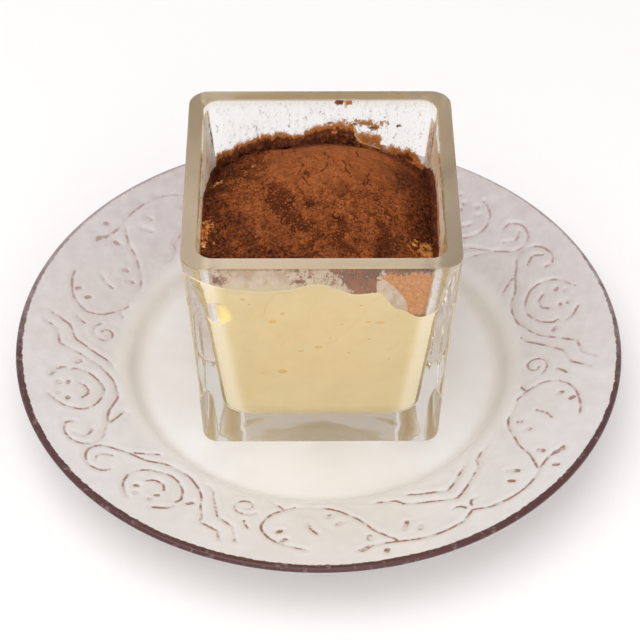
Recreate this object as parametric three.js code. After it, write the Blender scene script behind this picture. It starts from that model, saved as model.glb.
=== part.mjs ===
// A square glass of vanilla custard under a mound of cocoa powder, served on a round rimmed plate.
// Units are millimetres, +Z is up, and the origin is the centre of the plate's foot, on the table.
import * as THREE from "three";

// ---- Driving dimensions ----

const PLATE = {
  radius: 100,
  rimHeight: 22.4, // table to the top of the rim's edge
  floorHeight: 6, // table to the flat floor of the well
  floorRadius: 58.5,
  floorEase: 2, // how far inside floorRadius the well's wall begins to rise
  wallRadius: 64, // where the well's wall turns into the rim
  wallHeight: 12.4,
  wallDrop: 2.6, // height of the bend between the wall and the rim
  rimStart: 4, // how far outside wallRadius the rim's straight slope begins
  rimRise: 1.1, // its rise up to there
  thickness: 3.8,
  shoulder: 2.6, // how far outside wallRadius the rim's underside begins
  edgeRadius: 1,
  footRadius: 54,
  footWidth: 3.5,
  footEase: 0.8, // how far the foot ring's edges are taken off
  footFlare: 1.3, // how far the foot ring widens towards the plate
  steps: 3, // pieces in each bend of the section
  segments: 80,
};

const GLASS = {
  centre: new THREE.Vector2(0.5, 4.2), // it stands a little behind the plate's centre
  height: 81.4,
  baseHalf: 38.6, // half the outer width at the base
  rimHalf: 42.5, // half the outer width at the rim
  flare: 1.3, // above 1, the walls spread more near the rim
  baseCorner: 5.6, // the outer corners' radius at the base
  rimCorner: 6.6, // and at the rim
  baseEdge: 1.3,
  rimEdge: 0.6,
  floorThickness: 7.5,
  mouthHalf: 37.8, // half the cavity's width at the rim
  cavityDraft: 0.0934, // the cavity's narrowing on each side, for each millimetre down
  cavityCorner: 5.4,
  cavityFillet: 7, // between the cavity's floor and its walls
};

const FILLING = {
  gap: 0.3, // left between neighbouring pieces
  cocoaThickness: 1.6,
  // The mound's crown, in the glass's own frame, and its depth below the rim.
  crown: new THREE.Vector2(1, 14),
  crownDepth: 4.6,
  roundness: 1.9, // how late the mound falls away towards the walls
  rippleReach: 7, // the shore's short waves fade out with this power of the way to the wall
  rippleWidth: 0.3, // half the stretch of shore that counts as one short wave, in radians
  rings: 8, // between the crown and the shoreline
};

// How far below the rim the filling meets the glass: [x, y, depth] on or near each wall.
const SHORELINE = [
  [-36, -36, 9.6],
  [-26, -37, 12.1],
  [-19, -37, 12.9],
  [-12, -37, 12.2],
  [-1, -37, 9.5],
  [11, -37, 14.0],
  [18, -37, 13.4],
  [25, -37, 20.9],
  [32, -36, 24.4],
  [36, -30, 23],
  [36, -8, 20.5],
  [36, 10, 18.5],
  [36, 25, 24.5],
  [35, 36, 27],
  [20, 37, 21.5],
  [5, 37, 18],
  [-12, 37, 20],
  [-35, 36, 28],
  [-36, 22, 24],
  [-36, 10, 15.5],
  [-36, -4, 8.8],
  [-36, -26, 8.2],
];

const SIDE_STEPS = 9; // points along each straight side of a ring
const CORNER_STEPS = 4; // points round each of its corners

// ---- Rings and lofts ----

// A square ring with rounded corners, as points that run anticlockwise from the middle of the front.
function roundedSquare(half, corner) {
  const flat = half - corner;
  const origin = new THREE.Vector2();
  const points = [];
  for (let side = 0; side < 4; side++) {
    const turn = (side * Math.PI) / 2;
    for (let i = 0; i < SIDE_STEPS; i++) {
      const along = -flat + (2 * flat * i) / (SIDE_STEPS - 1);
      points.push(new THREE.Vector2(along, -half).rotateAround(origin, turn));
    }
    const arc = new THREE.EllipseCurve(flat, -flat, corner, corner, -Math.PI / 2, 0);
    const round = arc.getPoints(CORNER_STEPS + 1).slice(1, -1);
    round.forEach((p) => points.push(p.rotateAround(origin, turn)));
  }
  return points;
}

// A closed solid through a list of rings, each an array of Vector3 of the same length. Every ring is
// joined to the next by quads cut along their shorter diagonal, and the first and last rings are closed
// by fans round their own middles.
function loft(rings) {
  const count = rings[0].length;
  const vertices = rings.flat();
  const indices = [];
  for (let r = 0; r + 1 < rings.length; r++) {
    for (let i = 0; i < count; i++) {
      const a = r * count + i;
      const b = r * count + ((i + 1) % count);
      const [c, d] = [b + count, a + count];
      const short = vertices[a].distanceTo(vertices[c]) < vertices[b].distanceTo(vertices[d]);
      indices.push(...(short ? [a, b, c, a, c, d] : [a, b, d, b, c, d]));
    }
  }
  const fan = (ring, offset, up) => {
    const middle = ring.reduce((sum, p) => sum.add(p), new THREE.Vector3()).divideScalar(count);
    const tip = vertices.push(middle) - 1;
    for (let i = 0; i < count; i++) {
      const a = offset + i;
      const b = offset + ((i + 1) % count);
      indices.push(...(up ? [a, b, tip] : [b, a, tip]));
    }
  };
  fan(rings[0], 0, false);
  fan(rings[rings.length - 1], (rings.length - 1) * count, true);
  const geometry = new THREE.BufferGeometry().setFromPoints(vertices);
  geometry.setIndex(indices);
  geometry.computeVertexNormals();
  return geometry;
}

const level = (ring, z) => ring.map((p) => new THREE.Vector3(p.x, p.y, z));

// ---- Plate ----

// The plate's half section, turned about its axis: the underside from the middle outwards with its foot
// ring, a round edge, and the top face back over the rim and the well's wall to the middle.
function plateGeometry() {
  const p = PLATE;
  const underside = p.floorHeight - p.thickness;
  const footInner = p.footRadius - p.footWidth;
  const rimUnderside = p.wallHeight - p.thickness + p.rimRise / 2;
  const edge = { r: p.radius - p.edgeRadius, z: p.rimHeight - p.edgeRadius };
  const bendStart = p.wallRadius - p.floorEase * 0.7;
  const section = new THREE.Path();
  section.moveTo(0, underside);
  section.lineTo(footInner - p.footFlare, underside);
  section.lineTo(footInner, p.footEase / 2);
  section.lineTo(footInner + p.footEase, 0);
  section.lineTo(p.footRadius - p.footEase, 0);
  section.lineTo(p.footRadius, p.footEase / 2);
  section.lineTo(p.footRadius + p.footFlare, underside);
  section.quadraticCurveTo(p.wallRadius, underside + 1, p.wallRadius + p.shoulder, rimUnderside);
  section.lineTo(edge.r - p.edgeRadius / 2, edge.z - p.edgeRadius);
  section.absarc(edge.r, edge.z, p.edgeRadius, -Math.PI / 3, (2 * Math.PI) / 3);
  section.lineTo(p.wallRadius + p.rimStart, p.wallHeight + p.rimRise);
  section.quadraticCurveTo(p.wallRadius, p.wallHeight, bendStart, p.wallHeight - p.wallDrop);
  const floorStart = p.floorRadius - p.floorEase;
  section.quadraticCurveTo(p.floorRadius + p.floorEase, p.floorHeight, floorStart, p.floorHeight);
  section.lineTo(0, p.floorHeight);
  const geometry = new THREE.LatheGeometry(section.getPoints(p.steps), p.segments);
  return geometry.rotateX(Math.PI / 2);
}

// ---- Glass ----

// Half the outer width at a height above the glass's base.
const outerHalf = (z) =>
  GLASS.baseHalf + (GLASS.rimHalf - GLASS.baseHalf) * Math.pow(z / GLASS.height, GLASS.flare);

const outerCorner = (z) =>
  THREE.MathUtils.lerp(GLASS.baseCorner, GLASS.rimCorner, z / GLASS.height);

// Half the cavity's width at a height above the glass's base, with the fillet at its floor.
function cavityHalf(z) {
  const straight = GLASS.mouthHalf - GLASS.cavityDraft * (GLASS.height - z);
  const rise = z - GLASS.floorThickness;
  if (rise >= GLASS.cavityFillet) return straight;
  const drop = GLASS.cavityFillet - rise;
  return straight - GLASS.cavityFillet + Math.sqrt(GLASS.cavityFillet ** 2 - drop ** 2);
}

// The cavity's corners grow tighter towards the floor as the walls close in.
const cavityCorner = (z) => Math.min(GLASS.cavityCorner + 0.02 * (GLASS.height - z), cavityHalf(z) - 4);

function cavityRing(z, inset) {
  return level(roundedSquare(cavityHalf(z) - inset, cavityCorner(z) - inset / 2), z);
}

// Heights of the cavity's rings from its floor up, close together round the fillet.
function cavityHeights(top) {
  const heights = [];
  const filletSteps = 5;
  for (let i = 0; i <= filletSteps; i++) {
    const angle = (i / filletSteps) * (Math.PI / 2);
    heights.push(GLASS.floorThickness + GLASS.cavityFillet * (1 - Math.cos(angle)));
  }
  heights.push(top);
  return heights;
}

function glassGeometry() {
  const rings = [];
  const outer = (z, inset) =>
    level(roundedSquare(outerHalf(z) - inset, outerCorner(z) - inset), z);
  const edgeSteps = 3;
  for (let i = 0; i <= edgeSteps; i++) {
    const angle = (i / edgeSteps) * (Math.PI / 2);
    const z = GLASS.baseEdge * (1 - Math.cos(angle));
    rings.push(outer(z, GLASS.baseEdge * (1 - Math.sin(angle))));
  }
  for (const share of [0.25, 0.5, 0.72, 0.88]) rings.push(outer(GLASS.height * share, 0));
  rings.push(outer(GLASS.height - GLASS.rimEdge, 0));
  rings.push(outer(GLASS.height, GLASS.rimEdge));
  rings.push(cavityRing(GLASS.height, -GLASS.rimEdge));
  const down = cavityHeights(GLASS.height - GLASS.rimEdge).reverse();
  down.forEach((z) => rings.push(cavityRing(z, 0)));
  return loft(rings);
}

// ---- Custard and cocoa ----

// The direction of a point as seen from the mound's crown.
const bearing = (x, y) => Math.atan2(y - FILLING.crown.y, x - FILLING.crown.x);

const STOPS = SHORELINE.map(([x, y, depth]) => ({ angle: bearing(x, y), depth }));
STOPS.sort((a, b) => a.angle - b.angle);

// The shoreline's depth in one direction, by smooth steps between its neighbouring stops.
function shoreDepth(angle) {
  const turn = 2 * Math.PI;
  const here = ((((angle + Math.PI) % turn) + turn) % turn) - Math.PI;
  const first = { angle: STOPS[0].angle + turn, depth: STOPS[0].depth };
  const final = { angle: STOPS.at(-1).angle - turn, depth: STOPS.at(-1).depth };
  const next = STOPS.find((stop) => stop.angle > here) ?? first;
  const last = STOPS.findLast((stop) => stop.angle <= here) ?? final;
  const share = (here - last.angle) / (next.angle - last.angle);
  return THREE.MathUtils.lerp(last.depth, next.depth, THREE.MathUtils.smoothstep(share, 0, 1));
}

// The same shore with its short waves averaged out, which is what the mound slopes down to.
function calmDepth(angle) {
  const offsets = [-1, -0.5, 0, 0.5, 1];
  const sum = offsets.reduce((total, o) => total + shoreDepth(angle + o * FILLING.rippleWidth), 0);
  return sum / offsets.length;
}

// One ring of the filling's upper face: share 1 is the shoreline and 0 the crown. lift raises it.
function surfaceRing(share, inset, lift) {
  const shore = roundedSquare(GLASS.mouthHalf, GLASS.cavityCorner);
  return shore.map((direction, i) => {
    const angle = bearing(direction.x, direction.y);
    const depth = shoreDepth(angle);
    const calm = calmDepth(angle);
    const wall = cavityRing(GLASS.height - depth + lift, inset)[i];
    const mound = (calm - FILLING.crownDepth) * Math.pow(share, FILLING.roundness);
    const ripple = (depth - calm) * Math.pow(share, FILLING.rippleReach);
    const height = GLASS.height - FILLING.crownDepth - mound - ripple + lift;
    const spot = FILLING.crown.clone().lerp(wall, share);
    return new THREE.Vector3(spot.x, spot.y, height);
  });
}

const surfaceRings = (inset, lift) =>
  Array.from({ length: FILLING.rings }, (_, i) => surfaceRing(1 - i / FILLING.rings, inset, lift));

// The custard fills the cavity up to the shoreline and domes up under the cocoa.
function custardGeometry() {
  const lift = -FILLING.cocoaThickness - FILLING.gap;
  const deepest = Math.max(...SHORELINE.map((stop) => stop[2]));
  const heights = cavityHeights(GLASS.height - deepest - 8);
  const wall = heights.map((z) => cavityRing(z, FILLING.gap));
  wall[0].forEach((p) => (p.z += FILLING.gap));
  return loft([...wall, ...surfaceRings(FILLING.gap, lift)]);
}

// The cocoa is a layer of even thickness over the custard.
function cocoaGeometry() {
  const under = surfaceRings(FILLING.gap, -FILLING.cocoaThickness).reverse();
  const over = surfaceRings(FILLING.gap, 0);
  return loft([...under, ...over]);
}

// ---- Assembly ----

function piece(name, geometry, colour, roughness) {
  const material = new THREE.MeshStandardMaterial({ color: colour, roughness, metalness: 0 });
  const mesh = new THREE.Mesh(geometry, material);
  mesh.name = name;
  return mesh;
}

const plate = piece("plate", plateGeometry(), 0xddd8d3, 0.3);
const glass = piece("glass", glassGeometry(), 0xc9c4b8, 0.05);
const custard = piece("custard", custardGeometry(), 0xe0c78f, 0.4);
const cocoa = piece("cocoa", cocoaGeometry(), 0x7a4526, 0.9);

const serving = new THREE.Group();
serving.position.set(GLASS.centre.x, GLASS.centre.y, PLATE.floorHeight);
serving.add(glass, custard, cocoa);

const dessert = new THREE.Group();
dessert.add(plate, serving);

export default dessert;
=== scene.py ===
"""Looks for a square glass of vanilla custard under cocoa powder, on an embossed dessert plate.

The frame gives every place and main size in metres. Shapes are worked out in millimetres, in the glass's
own axes (its centre, and heights above its base) or the plate's, and become metres in new_piece().
"""

import math
from itertools import product

import bpy
import numpy as np
from mathutils import Matrix, Vector


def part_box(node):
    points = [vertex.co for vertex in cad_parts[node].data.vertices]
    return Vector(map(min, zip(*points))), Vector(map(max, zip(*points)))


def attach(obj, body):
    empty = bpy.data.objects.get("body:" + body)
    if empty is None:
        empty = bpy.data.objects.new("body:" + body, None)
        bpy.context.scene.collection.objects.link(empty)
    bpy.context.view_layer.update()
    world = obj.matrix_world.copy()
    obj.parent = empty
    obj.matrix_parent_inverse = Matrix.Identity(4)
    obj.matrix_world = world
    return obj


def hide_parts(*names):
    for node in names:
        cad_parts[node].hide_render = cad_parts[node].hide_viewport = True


bl_info = {
    "name": "Custard glass on a plate",
    "version": (1, 0, 0),
    "blender": (4, 5, 0),
    "location": "3D View > Sidebar > Dessert",
    "description": "Makes a cocoa-dusted custard in a square glass on an embossed plate",
    "category": "Add Mesh",
}

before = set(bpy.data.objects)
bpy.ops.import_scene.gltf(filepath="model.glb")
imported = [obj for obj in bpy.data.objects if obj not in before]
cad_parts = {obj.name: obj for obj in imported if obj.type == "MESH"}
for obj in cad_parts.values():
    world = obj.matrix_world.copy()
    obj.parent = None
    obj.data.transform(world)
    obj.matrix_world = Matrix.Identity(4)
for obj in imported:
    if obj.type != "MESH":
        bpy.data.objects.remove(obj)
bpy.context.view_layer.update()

MM = 0.001
SEED = 7

# ---- Sizes in millimetres, from the frame where it holds them ----

PLATE_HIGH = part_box("plate")[1] / MM
GLASS_LOW, GLASS_HIGH = (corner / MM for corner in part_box("glass"))
CUSTARD_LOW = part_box("custard")[0] / MM

GLASS_CENTRE = (GLASS_LOW + GLASS_HIGH) / 2
GLASS_BASE = GLASS_LOW.z
GLASS_TALL = GLASS_HIGH.z - GLASS_LOW.z
RIM_HALF = (GLASS_HIGH.x - GLASS_LOW.x) / 2
BASE_HALF = RIM_HALF - 3.9
FLARE = 1.3  # the power of the height with which the outside widens
RIM_CORNER = 6.6
BASE_CORNER = 5.6
MOUTH_HALF = RIM_HALF - 4.7
CAVITY_DRAFT = 0.0934  # how much its half width grows with each millimetre of height
CAVITY_CORNER = 5.4
CAVITY_FILLET = 7
SOLID_GAP = 0.3  # which the frame's solids keep between glass and custard
CAVITY_FLOOR = CUSTARD_LOW.z - GLASS_BASE - SOLID_GAP

PLATE_RADIUS = PLATE_HIGH.x
PLATE_TALL = PLATE_HIGH.z
WELL_FLOOR = GLASS_BASE
WELL_RADIUS = 58.5
WALL_RADIUS = 64
WALL_TALL = 12.4
PLATE_THICK = 3.8
FOOT_RADIUS = 54
FOOT_WIDTH = 3.5
EDGE_RADIUS = 1

# The mound of cocoa: its crown, the powers with which it falls and its shore's waves fade in on the way to
# the wall, and how far below the rim it meets each wall, as (x, y, depth).
CROWN = np.array([1.0, 14.0])
CROWN_DEPTH = 4.6
MOUND_POWER = 1.9
RIPPLE_POWER = 7
SHORELINE = [
    (-36, -36, 9.6), (-26, -37, 12.1), (-19, -37, 12.9), (-12, -37, 12.2), (-1, -37, 9.5),
    (11, -37, 14.0), (18, -37, 13.4), (25, -37, 20.9), (32, -36, 24.4), (36, -30, 23), (36, -8, 20.5),
    (36, 10, 18.5), (36, 25, 24.5), (35, 36, 27), (20, 37, 21.5), (5, 37, 18), (-12, 37, 20),
    (-35, 36, 28), (-36, 22, 24), (-36, 10, 15.5), (-36, -4, 8.8), (-36, -26, 8.2),
]


def srgb(red, green, blue):
    """A display colour of 0 to 255 a channel as linear light, by the usual transfer curve."""
    share = np.array([red, green, blue]) / 255
    linear = np.where(share <= 0.04045, share / 12.92, ((share + 0.055) / 1.055) ** 2.4)
    return tuple(float(v) for v in linear)


# ---- Numbers on arrays ----


def smooth_step(low, high, value):
    """0 below low and 1 above high, joined by 3t^2 - 2t^3."""
    t = np.clip((value - low) / (high - low), 0, 1)
    return t * t * (3 - 2 * t)


SEED_FACTOR = 974634777
AXIS_FACTORS = (374761393, 668265263, 1440662683)


def lattice_value(cells, seed):
    """A fixed random number from 0 to 1 for every lattice point: its coordinates and the seed, each
    times a large odd number, are added up and scrambled by shifts."""
    mixed = seed * SEED_FACTOR + sum(cells[..., k] * AXIS_FACTORS[k] for k in range(cells.shape[-1]))
    mixed = mixed & 0xFFFFFFFF
    mixed = ((mixed ^ (mixed >> 13)) * 1274126177) & 0xFFFFFFFF
    return ((mixed ^ (mixed >> 16)) & 0xFFFFFF) / 0xFFFFFF


def soft_noise(points, size, seed):
    """Smooth noise from -1 to 1: random values on a lattice `size` wide, blended by
    6t^5 - 15t^4 + 10t^3."""
    spot = np.asarray(points, float) / size
    cell = np.floor(spot).astype(np.int64)
    t = spot - cell
    blend = t * t * t * (t * (6 * t - 15) + 10)
    total = np.zeros(spot.shape[:-1])
    for corner in product((0, 1), repeat=spot.shape[-1]):
        weight = np.prod(np.where(np.array(corner) == 1, blend, 1 - blend), axis=-1)
        total += weight * lattice_value(cell + np.array(corner), seed)
    return 2 * total - 1


def layered_noise(points, size, layers, seed):
    """Soft noise in layers, each half as wide and half as strong as the one before."""
    total = sum(soft_noise(points, size / 2**k, seed + k) / 2**k for k in range(layers))
    return total / (2 - 2.0 ** (1 - layers))


def crumb_noise(points, size, seed):
    """Distances to the nearest and the second nearest of scattered points, one in each square `size`
    wide, as shares of that size."""
    spot = np.asarray(points, float) / size
    cell = np.floor(spot).astype(np.int64)
    near = np.full(spot.shape[:-1], 9.0)
    second = near.copy()
    for step in product((-1, 0, 1), repeat=2):
        home = cell + np.array(step)
        jitter = np.stack([lattice_value(home, seed), lattice_value(home, seed + 1)], -1)
        gap = np.linalg.norm(home + 0.1 + 0.8 * jitter - spot, axis=-1)
        second = np.minimum(second, np.maximum(near, gap))
        near = np.minimum(near, gap)
    return near, second


def smooth_curve(points, steps):
    """A Catmull-Rom spline through the points, with that many steps in each span."""
    p = np.asarray(points, float)
    p = np.vstack([2 * p[0] - p[1], p, 2 * p[-1] - p[-2]])
    a, b, c, d = p[:-3, None], p[1:-2, None], p[2:-1, None], p[3:, None]
    t = np.linspace(0, 1, steps, endpoint=False)[None, :, None]
    curve = b + 0.5 * t * (c - a + t * (2 * a - 5 * b + 4 * c - d + t * (3 * (b - c) + d - a)))
    return np.vstack([curve.reshape(-1, p.shape[1]), p[-2]])


def distance_to(points, samples):
    """The distance from each 2-D point to the nearest of the samples."""
    flat = points.reshape(-1, 2)
    nearest = np.empty(len(flat))
    block = 4000  # points at once, so that the table of gaps stays small
    for start in range(0, len(flat), block):
        part = flat[start : start + block]
        gaps = (part[:, None, 0] - samples[None, :, 0]) ** 2
        gaps += (part[:, None, 1] - samples[None, :, 1]) ** 2
        nearest[start : start + block] = np.sqrt(gaps.min(1))
    return nearest.reshape(points.shape[:-1])


def two_noises(points, size, seed):
    """Two independent soft noises as the two parts of a shift."""
    return np.stack([soft_noise(points, size, seed), soft_noise(points, size, seed + 1)], -1)


def blob(x, y, place, wide, tall):
    """1 at the place and fading out as exp(-d^2) over its width and height."""
    return np.exp(-(((x - place[0]) / wide) ** 2) - ((y - place[1]) / tall) ** 2)


def spots_at(x, y, spots):
    """The strongest of several blobs, given as (x, y, width, height, strength)."""
    return np.max([power * blob(x, y, (a, b), wide, tall) for a, b, wide, tall, power in spots], axis=0)


# ---- Meshes ----


def new_piece(name, material, points, quads, triangles=(), attributes=None, node=None, finish=None):
    """A smooth mesh object from points in millimetres and faces as arrays of corner numbers. With a
    finish it rides on the body, and it replaces the node if one is named."""
    points = np.asarray(points, np.float32).reshape(-1, 3) * MM
    quads = np.asarray(quads, np.int32).reshape(-1, 4)
    triangles = np.asarray(triangles, np.int32).reshape(-1, 3)
    mesh = bpy.data.meshes.new(name)
    mesh.vertices.add(len(points))
    mesh.vertices.foreach_set("co", points.ravel())
    corners = np.concatenate([quads.ravel(), triangles.ravel()])
    mesh.loops.add(len(corners))
    mesh.loops.foreach_set("vertex_index", corners)
    sizes = np.concatenate([np.full(len(quads), 4), np.full(len(triangles), 3)])
    mesh.polygons.add(len(sizes))
    starts = np.concatenate([[0], np.cumsum(sizes)[:-1]]).astype(np.int32)
    mesh.polygons.foreach_set("loop_start", starts)
    mesh.update(calc_edges=True)
    mesh.shade_smooth()
    for key, values in (attributes or {}).items():
        layer = mesh.attributes.new(key, "FLOAT", "POINT")
        layer.data.foreach_set("value", np.asarray(values, np.float32).ravel())
    piece = bpy.data.objects.new(name, mesh)
    bpy.context.scene.collection.objects.link(piece)
    if finish:
        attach(piece, "root")
    if node:
        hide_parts(node)
    mesh.materials.append(material)
    return piece


def grid_quads(rows, columns, wrap=False):
    """Corner numbers of the quads of a grid stored row by row. With wrap the last column joins the
    first. Seen from outside, columns run to the right and rows run up."""
    row, column = np.meshgrid(np.arange(rows - 1), np.arange(columns - (not wrap)), indexing="ij")
    right = (column + 1) % columns
    low = row * columns
    high = low + columns
    return np.stack([low + column, low + right, high + right, high + column], -1).reshape(-1, 4)


def ring_stack(rings):
    """Points, quads and triangles of a closed solid through rings that run anticlockwise seen from
    above, from the bottom up or on along the surface. A middle point closes each end."""
    rows, columns = rings.shape[:2]
    points = np.vstack([rings.reshape(-1, 3), rings[0].mean(0), rings[-1].mean(0)])
    here = np.arange(columns)
    after = (here + 1) % columns
    first = np.stack([after, here, np.full(columns, rows * columns)], -1)
    last_row = (rows - 1) * columns
    last = np.stack([last_row + here, last_row + after, np.full(columns, rows * columns + 1)], -1)
    return points, grid_quads(rows, columns, wrap=True), np.vstack([first, last])


def slab(front, back):
    """Points and quads of a closed sheet between two grids of the same shape: the front face, the back
    face turned round, and a strip along each of the four borders."""
    rows, columns = front.shape[:2]
    count = rows * columns
    number = np.arange(count).reshape(rows, columns)
    faces = [grid_quads(rows, columns), grid_quads(rows, columns)[:, ::-1] + count]
    borders = [number[0, ::-1], number[-1], number[:, 0], number[::-1, -1]]
    for line in borders:
        a, b = line[:-1], line[1:]
        faces.append(np.stack([a, b, b + count, a + count], -1))
    return np.vstack([front.reshape(-1, 3), back.reshape(-1, 3)]), np.vstack(faces)


# ---- Materials ----


class Finish:
    """A material under construction. node adds a node and gives it back, finish gives back the material,
    and every other method adds what it needs and gives back an output socket."""

    def __init__(self, name):
        self.material = bpy.data.materials.new(name)
        self.material.use_nodes = True
        self.tree = self.material.node_tree
        self.tree.nodes.clear()
        self.output = self.tree.nodes.new("ShaderNodeOutputMaterial")
        self.place = self.tree.nodes.new("ShaderNodeTexCoord").outputs["Object"]

    def node(self, kind, inputs, **settings):
        made = self.tree.nodes.new(kind)
        for key, value in settings.items():
            setattr(made, key, value)
        for key, value in inputs.items():
            socket = made.inputs[key]
            if isinstance(value, bpy.types.NodeSocket):
                self.tree.links.new(value, socket)
            elif socket.type == "RGBA" and len(value) == 3:
                socket.default_value = (*value, 1)
            else:
                socket.default_value = value
        return made

    def attribute(self, name):
        return self.node("ShaderNodeAttribute", {}, attribute_name=name).outputs["Fac"]

    def math(self, operation, *values):
        return self.node("ShaderNodeMath", dict(enumerate(values)), operation=operation).outputs[0]

    def plus(self, first, second):
        return self.math("ADD", first, second)

    def times(self, first, second):
        return self.math("MULTIPLY", first, second)

    def most(self, first, second):
        return self.math("MAXIMUM", first, second)

    def scaled(self, value, factor, offset):
        """The value times the factor, plus the offset."""
        return self.math("MULTIPLY_ADD", value, factor, offset)

    def stretched(self, scale):
        return self.node("ShaderNodeMapping", {"Vector": self.place, "Scale": scale}).outputs[0]

    def noise(self, size_mm, detail=3.0, vector=None, roughness=0.55):
        inputs = {"Vector": vector or self.place, "Scale": 1 / (size_mm * MM)}
        inputs.update({"Detail": detail, "Roughness": roughness})
        return self.node("ShaderNodeTexNoise", inputs).outputs["Fac"]

    def between(self, value, low, high):
        """0 where the value is below low, 1 above high, smooth between."""
        inputs = {"Value": value, "From Min": low, "From Max": high}
        return self.node("ShaderNodeMapRange", inputs, interpolation_type="SMOOTHSTEP").outputs["Result"]

    def ragged(self, attribute, noise, low, high):
        """A painted place with a ragged border: 0 where its attribute and the noise add up to less than
        low, 1 above high."""
        return self.between(self.plus(self.attribute(attribute), noise), low, high)

    def mix(self, share, first, second):
        """One colour to another. The Mix node has its share at socket 0 and its colours at 6 and 7."""
        inputs = {0: share, 6: first, 7: second}
        return self.node("ShaderNodeMix", inputs, data_type="RGBA").outputs[2]

    def bump(self, height, distance_mm, strength=1.0):
        inputs = {"Height": height, "Distance": distance_mm * MM, "Strength": strength}
        return self.node("ShaderNodeBump", inputs).outputs["Normal"]

    def finish(self, inputs):
        shader = self.node("ShaderNodeBsdfPrincipled", inputs)
        self.tree.links.new(shader.outputs[0], self.output.inputs["Surface"])
        return self.material


def glaze_finish(sizes):
    """White glaze with a thin wash over the rim that is also painted shade, darker at the back and sides
    and in the well round the glass, brown left in the scrolls and a dark brushed edge.
    """
    m = Finish("Glaze")
    cloud = m.between(m.noise(22, 2), 0.35, 0.7)
    white = m.mix(cloud, sizes.glaze_colour, sizes.glaze_shade)
    # Painted shade: the wash turns to its darker far colour towards the back.
    wash_and_shade = m.mix(m.attribute("far"), sizes.wash_colour, sizes.wash_far_shade_colour)
    washed = m.mix(m.times(m.attribute("wash_and_shade"), m.scaled(m.noise(5, 4), 0.5, 0.5)), white, wash_and_shade)
    rubbed = m.ragged("stain", m.scaled(m.noise(1.0, 3), 0.5, -0.25), 0.4, 0.8)
    broken = m.scaled(m.between(m.noise(4.2, 4), 0.4, 0.58), 0.85, 0.15)
    rubbed = m.times(rubbed, m.times(broken, m.attribute("rub")))
    body = m.mix(rubbed, washed, sizes.stain_colour)
    wobble = m.scaled(m.noise(1.8, 5, roughness=0.65), 1.6, -0.8)
    paint = m.math("SUBTRACT", 1.0, m.ragged("edge", wobble, -0.15, 0.15))
    worn = m.times(m.between(m.noise(3.2, 5, roughness=0.7), 0.54, 0.66), 0.45)
    brown = m.mix(worn, sizes.edge_colour, sizes.edge_worn_colour)
    faded = m.ragged("far", m.scaled(m.noise(6, 4), 0.6, -0.3), 0.35, 0.85)
    colour = m.mix(paint, body, m.mix(faded, brown, sizes.edge_far_colour))
    gloss = m.plus(m.scaled(m.noise(0.9, 3), 0.10, 0.13), m.times(paint, 0.25))
    inputs = {"Base Color": colour, "Roughness": gloss, "Normal": m.bump(m.noise(1.4, 3), 0.02)}
    inputs.update({"Coat Weight": 0.25, "Coat Roughness": 0.12})
    return m.finish(inputs)


def glass_finish(sizes):
    """Clear thick glass that darkens only over a long way through it, with a ground top to its rim."""
    m = Finish("PressedGlass")
    rough = m.scaled(m.attribute("rim"), 0.28, 0.015)
    rim_tint = m.mix(m.attribute("rim"), (1, 1, 1), sizes.rim_tint)
    inputs = {"Base Color": rim_tint, "Roughness": rough, "IOR": 1.5, "Transmission Weight": 1.0}
    inputs["Normal"] = m.bump(m.noise(9, 2), 0.06)
    material = m.finish(inputs)
    tint = {"Color": sizes.glass_tint, "Density": sizes.glass_density}
    volume = m.node("ShaderNodeVolumeAbsorption", tint)
    m.tree.links.new(volume.outputs[0], m.output.inputs["Volume"])
    return material


WET_IOR = 0.905  # of custard against glass


def custard_finish(sizes):
    """Soft pale yellow, faintly mottled, with light let a little way in and a faint painted glow: an even
    emission that stands in for the light that comes through it from all sides. Where the glass meets it at
    a low angle it mirrors, as anything wet and less dense than the glass does; its floor mirrors in part."""
    m = Finish("Custard")
    mottle = m.between(m.noise(9, 3), 0.35, 0.7)
    colour = m.mix(mottle, sizes.custard_colour, sizes.custard_shade)
    # Painted reflection: the rounded corners are painted paler, as where the glass meets the custard at a
    # low angle.
    colour = m.mix(m.times(m.attribute("pale"), 0.85), colour, sizes.corner_reflection_colour)
    colour = m.mix(m.attribute("haze"), colour, sizes.haze_colour)
    colour = m.mix(m.attribute("pocket"), colour, sizes.pocket_colour)
    inputs = {"Base Color": colour, "Roughness": 0.38, "Subsurface Weight": 0.25}
    inputs.update({"Subsurface Radius": (0.9, 0.6, 0.3), "Subsurface Scale": 2.5 * MM})
    # Painted glow: a constant emission that stands in for light passing through the custard.
    inputs.update({"Emission Color": sizes.painted_glow_colour, "Emission Strength": sizes.painted_glow_strength})
    material = m.finish(inputs)
    soft = m.output.inputs["Surface"].links[0].from_socket
    grazing = m.node("ShaderNodeFresnel", {"IOR": WET_IOR}).outputs[0]
    mirror = m.node("ShaderNodeBsdfGlossy", {"Color": (1, 1, 1), "Roughness": 0.02})
    share = m.times(m.between(grazing, 0.2, 0.9), m.attribute("wall"))
    share = m.most(share, m.times(m.attribute("floor"), 0.5))
    both = m.node("ShaderNodeMixShader", {0: share, 1: soft, 2: mirror.outputs[0]})
    m.tree.links.new(both.outputs[0], m.output.inputs["Surface"])
    return material


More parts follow.
